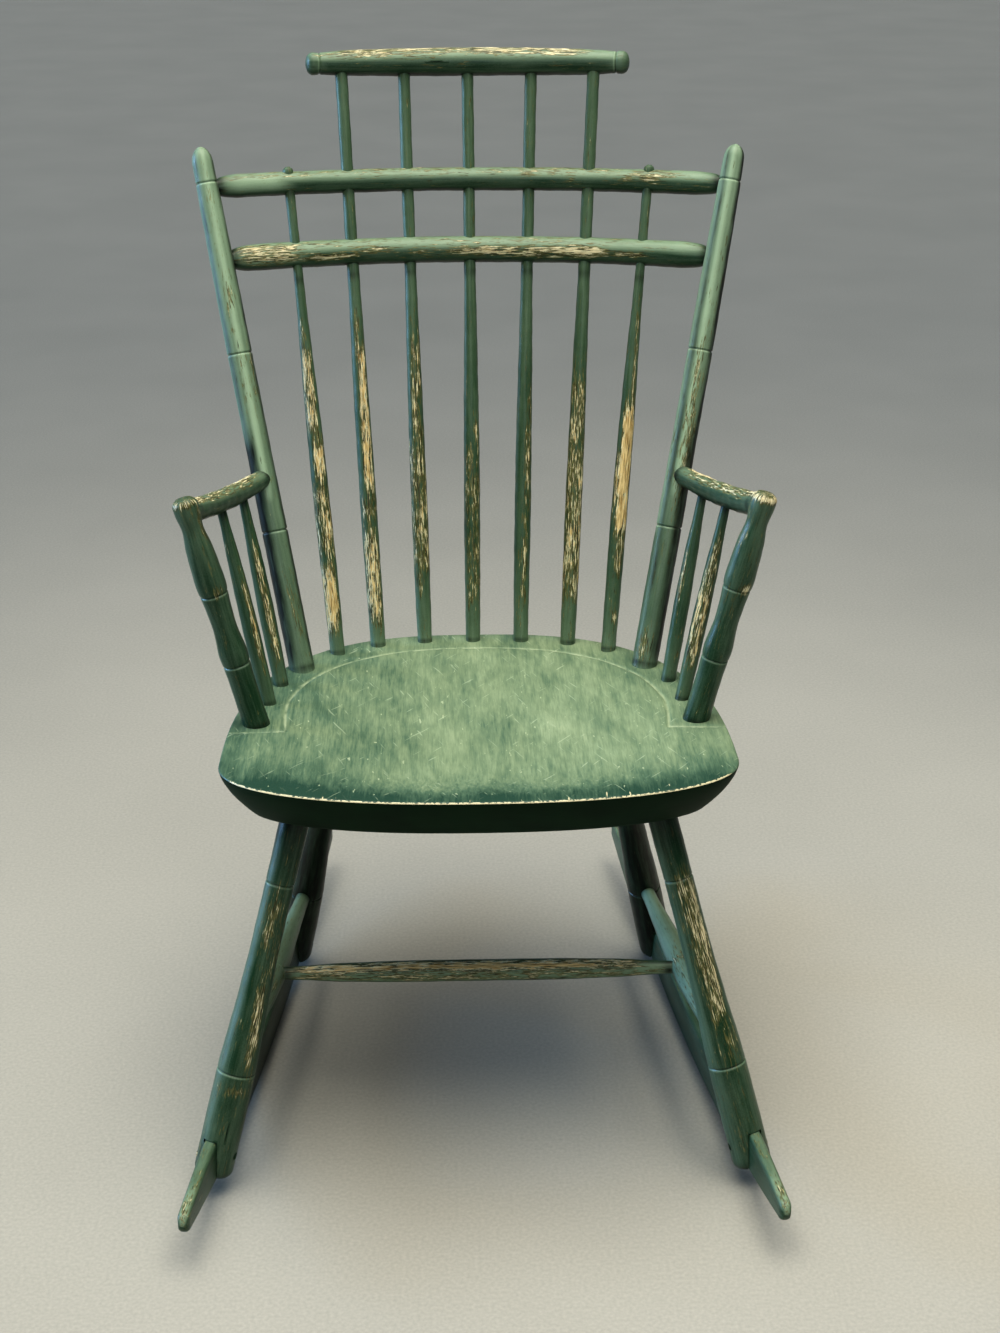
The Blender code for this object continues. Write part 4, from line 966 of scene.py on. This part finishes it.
SPINDLE_WEAR = {
    # number from the left: wear from the foot up; the seat is at 0.026
    1: ((0.050, 0.123, -10, 64, 0.62), (0.123, 0.205, 10, 80, 0.44), (0.205, 0.250, 20, 44, 0.58),
        (0.250, 0.348, -5, 50, 0.54), (0.345, 0.372, 0, 26, 0.36)),
    2: ((0.049, 0.152, 0, 60, 0.54), (0.049, 0.150, -48, 14, 0.56), (0.152, 0.188, 10, 60, 0.38),
        (0.188, 0.346, 22, 38, 0.66), (0.346, 0.376, 10, 26, 0.44)),
    3: ((0.100, 0.241, 0, 90, 0.39), (0.230, 0.352, 18, 48, 0.38), (0.068, 0.108, -25, 40, 0.38)),
    4: ((0.060, 0.230, 15, 70, 0.29), (0.170, 0.260, 40, 18, 0.38)),
    5: ((0.060, 0.170, 12, 20, 0.46), (0.160, 0.300, 35, 30, 0.34)),
    6: ((0.072, 0.240, 0, 90, 0.40), (0.235, 0.310, -8, 60, 0.42), (0.100, 0.175, 10, 14, 0.50)),
    7: ((0.148, 0.282, 14, 46, 0.84), (0.170, 0.235, -50, 22, 0.56), (0.108, 0.150, 18, 30, 0.56),
        (0.284, 0.375, 20, 16, 0.44), (0.055, 0.068, 20, 14, 0.56)),
}
SPINDLE_REAR_WEAR = ((0.06, 0.36, 180, 50, 0.25),)
SPINDLE_SWELL = 0.0083
LONG_RADII = (0.0062, 0.0055)  # in the rails, and near the tip
SHORT_RADII = (0.0050, 0.0058)
UNDER_RAIL = STICK_SOCKET + 0.385  # where they enter the lower rail
DOME_RISE = 0.0022  # the short ones end in a low dome above the rail
for number, wear in SPINDLE_WEAR.items():
    name = f"back_spindle_{number}"
    foot, top, length = stick_ends(name)
    slim, tip = LONG_RADII
    if number in (1, 7):
        slim, tip = SHORT_RADII
        top = top + (top - foot) / length * DOME_RISE
        length += DOME_RISE
    stations = [(0.0, 0.0078), (STICK_SOCKET, 0.0078), (0.07, 0.0082), (0.16, 0.0087), (0.24, SPINDLE_SWELL),
                (0.33, (SPINDLE_SWELL + slim) / 2), (UNDER_RAIL, slim), (length - 0.014, slim),
                (length - 0.005, tip), (length - 0.002, 0.85 * tip), (length, 0.45 * tip)]
    # Darkened on the right side with painted shade.
    make_stick(
        name, "worn_paint", (foot, top), stations, wear=wear + SPINDLE_REAR_WEAR,
        fade=((0.03, 0.36), (0.08, 0.20), (0.15, 0.12), (0.30, 0.16), (UNDER_RAIL, 0.24)),
        dirt=((STICK_SOCKET, 0.002, 0.6), (UNDER_RAIL + 0.002, 0.005, 0.6), (UNDER_RAIL + 0.090, 0.005, 0.6)),
        shade=((0.05, length, 100, 24, 0.8),), seed=40 + number, wobble=0.00022, bow=0.0010)


# Comb: a bent and turned rod with a ringed knob at each end, on top of the five long spindles. Hands
# have worn its top to the undercoat, and it has dried out to a split in front.

COMB_RADIUS = 0.0142
COMB_NECK = 0.013  # from the end to the ring
COMB_SPLIT = (0.024, 0.0008, 0.004)  # length, half height and depth
COMB_SPLIT_STEP = 36  # along the steps of the bow
COMB_SPLIT_SIDE = (0.0, -COMB_RADIUS, 0.002)  # from the middle of the rod
line = bowed_line("crest_rail")
length = walk(line)[-1]
half = [(0.0, 0.0040), (0.0010, 0.0072), (0.0030, 0.0098), (0.0065, 0.0113), (COMB_NECK, 0.0110),
        (0.03, 0.0122), (0.10, 0.0138)]
# Paler along the top and at the knobs, partly faded paint and partly painted light, and darkened underneath
# with painted shade.
comb_piece = make_stick(
    "crest_rail", "green_paint", line, mirrored(half, length, COMB_RADIUS),
    rings=(COMB_NECK, length - COMB_NECK),
    wear=((0.025, length - 0.045, -72, 26, 0.54), (0.03, 0.12, -55, 30, 0.40), (0.19, 0.28, -60, 26, 0.48),
          (0.02, length - 0.02, -150, 34, 0.36)),
    fades=((0.0, length, -70, 52, 0.56), (0.0, 0.02, -40, 70, 0.24), (length - 0.02, length, -40, 70, 0.30)),
    fade=0.08, shade=((0.0, length, 100, 62, 1.0),), seed=51, wobble=0.00026)
along = line[COMB_SPLIT_STEP + 4] - line[COMB_SPLIT_STEP - 4]
cut_away(comb_piece, drying_split(
    line[COMB_SPLIT_STEP] + COMB_SPLIT_SIDE, along, (0.0, -1.0, 0.1), *COMB_SPLIT))


# Arm posts: stout turned sticks with two rings and a knuckle on top, splayed outwards from the sides
# of the seat. The front ends of the arms are coped to them just below their tops.

ARM_POST_RINGS = (STICK_SOCKET + 0.066, STICK_SOCKET + 0.140)
KNUCKLE_WEAR = {"left": 0.40, "right": 0.70}
for seed, (label, side) in enumerate(SIDES, start=61):
    name = "arm_post_" + label
    foot, top, length = stick_ends(name)
    low, high = ARM_POST_RINGS
    neck = high + 0.7 * (length - high)
    stations = [(0.0, 0.0127), (STICK_SOCKET, 0.0128), (low - 0.022, 0.0124), (low - 0.003, 0.0131),
                (low + 0.009, 0.0139), ((low + high) / 2, 0.0116), (high - 0.006, 0.0128),
                (high + 0.010, 0.0144), (neck - 0.022, 0.0128), (neck, 0.0103), (length - 0.012, 0.0121),
                (length - 0.006, 0.0121), (length - 0.0022, 0.0107), (length, 0.0080)]
    knuckle = KNUCKLE_WEAR[label]
    # Paler on the left side and upwards, partly as painted light, and darkened on the right side with painted
    # shade.
    make_stick(
        name, "green_paint", (foot, top), stations, rings=ARM_POST_RINGS,
        wear=((length - 0.007, length, 0, 200, knuckle), (length - 0.05, length, -80 * side, 40, 0.24),
              (high - 0.002, high + 0.008, 30, 18, knuckle)),
        fades=((0.04, length - 0.02, -100, 40, 0.24),), fade=((0.03, 0.05), (0.12, 0.08), (length, 0.16)),
        dirt=((STICK_SOCKET, 0.003, 0.7),), shade=((0.03, length, 100, 30, 0.7),), seed=seed, wobble=0.00018)


# Arms: shaved rods that bow a little outwards and sag, coped to the arm posts in front and tapering
# into the back posts. Hands have worn their tops through the paint in a lumpy, bark-like crackle.

ARM_TOP_WEAR = {"left": 0.56, "right": 0.72}
ARM_BOW = 0.004
ARM_SAG = 0.006
for seed, (label, side) in enumerate(SIDES, start=71):
    name = "arm_" + label
    front, rear, _ = stick_ends(name, way=(0.0, 1.0, 0.0))
    shares = np.linspace(0.0, 1.0, 60)[:, None]
    line = front + (rear - front) * shares + 4 * shares * (1 - shares) * (side * ARM_BOW, 0.0, -ARM_SAG)
    length = walk(line)[-1]
    stations = [(0.0, 0.0108), (0.02, 0.0114), (0.5 * length, 0.0113), (0.8 * length, 0.0105),
                (length - 0.012, 0.0097), (length, 0.0060)]
    # Paler on top, partly faded paint and partly painted light, and darkened underneath with painted shade.
    make_stick(
        name, "green_paint", line, stations,
        wear=((0.0, length - 0.04, -38, 16, 0.46), (0.0, length - 0.06, 34, 16, 0.42),
              (0.0, 0.04, 0, 50, 0.56), (0.02, length - 0.03, 0, 60, 0.34),
              (length - 0.095, length - 0.022, 20 * side, 28, ARM_TOP_WEAR[label])),
        fades=((0.0, length, 0, 60, 0.36),), fade=0.10, shade=((0.0, length, 180, 70, 0.9),),
        dirt=((0.014, 0.003, 0.6), (length - 0.014, 0.006, 0.9)), seed=seed, wobble=0.00045, facing=UP)


# Arm spindles: two slim turned sticks under each arm, swelling below the middle, worn in streaks
# where legs and clothes brush past.

ARM_SPINDLE_WEAR = {
    "front_left": ((0.060, 0.150, 40, 18, 0.44),),
    "front_right": ((0.060, 0.190, -15, 45, 0.44), (0.080, 0.150, -52, 20, 0.62)),
    "rear_left": ((0.050, 0.170, 22, 28, 0.46),),
    "rear_right": ((0.110, 0.160, -50, 16, 0.42),),
}
for seed, (corner, wear) in enumerate(ARM_SPINDLE_WEAR.items(), start=81):
    name = "arm_spindle_" + corner
    foot, top, length = stick_ends(name)
    stations = [(0.0, 0.0074), (STICK_SOCKET, 0.0074), (0.42 * length, 0.0080), (0.72 * length, 0.0066),
                (length - 0.022, 0.0047), (length, 0.0045)]
    # Darkened on the right side with painted shade.
    make_stick(
        name, "worn_paint", (foot, top), stations, wear=wear, fade=((0.03, 0.24), (0.09, 0.12)),
        shade=((0.03, length, 100, 30, 0.8),), seed=seed, wobble=0.00018, bow=0.0006,
        dirt=((STICK_SOCKET, 0.003, 0.7), (length - 0.012, 0.005, 0.7)))
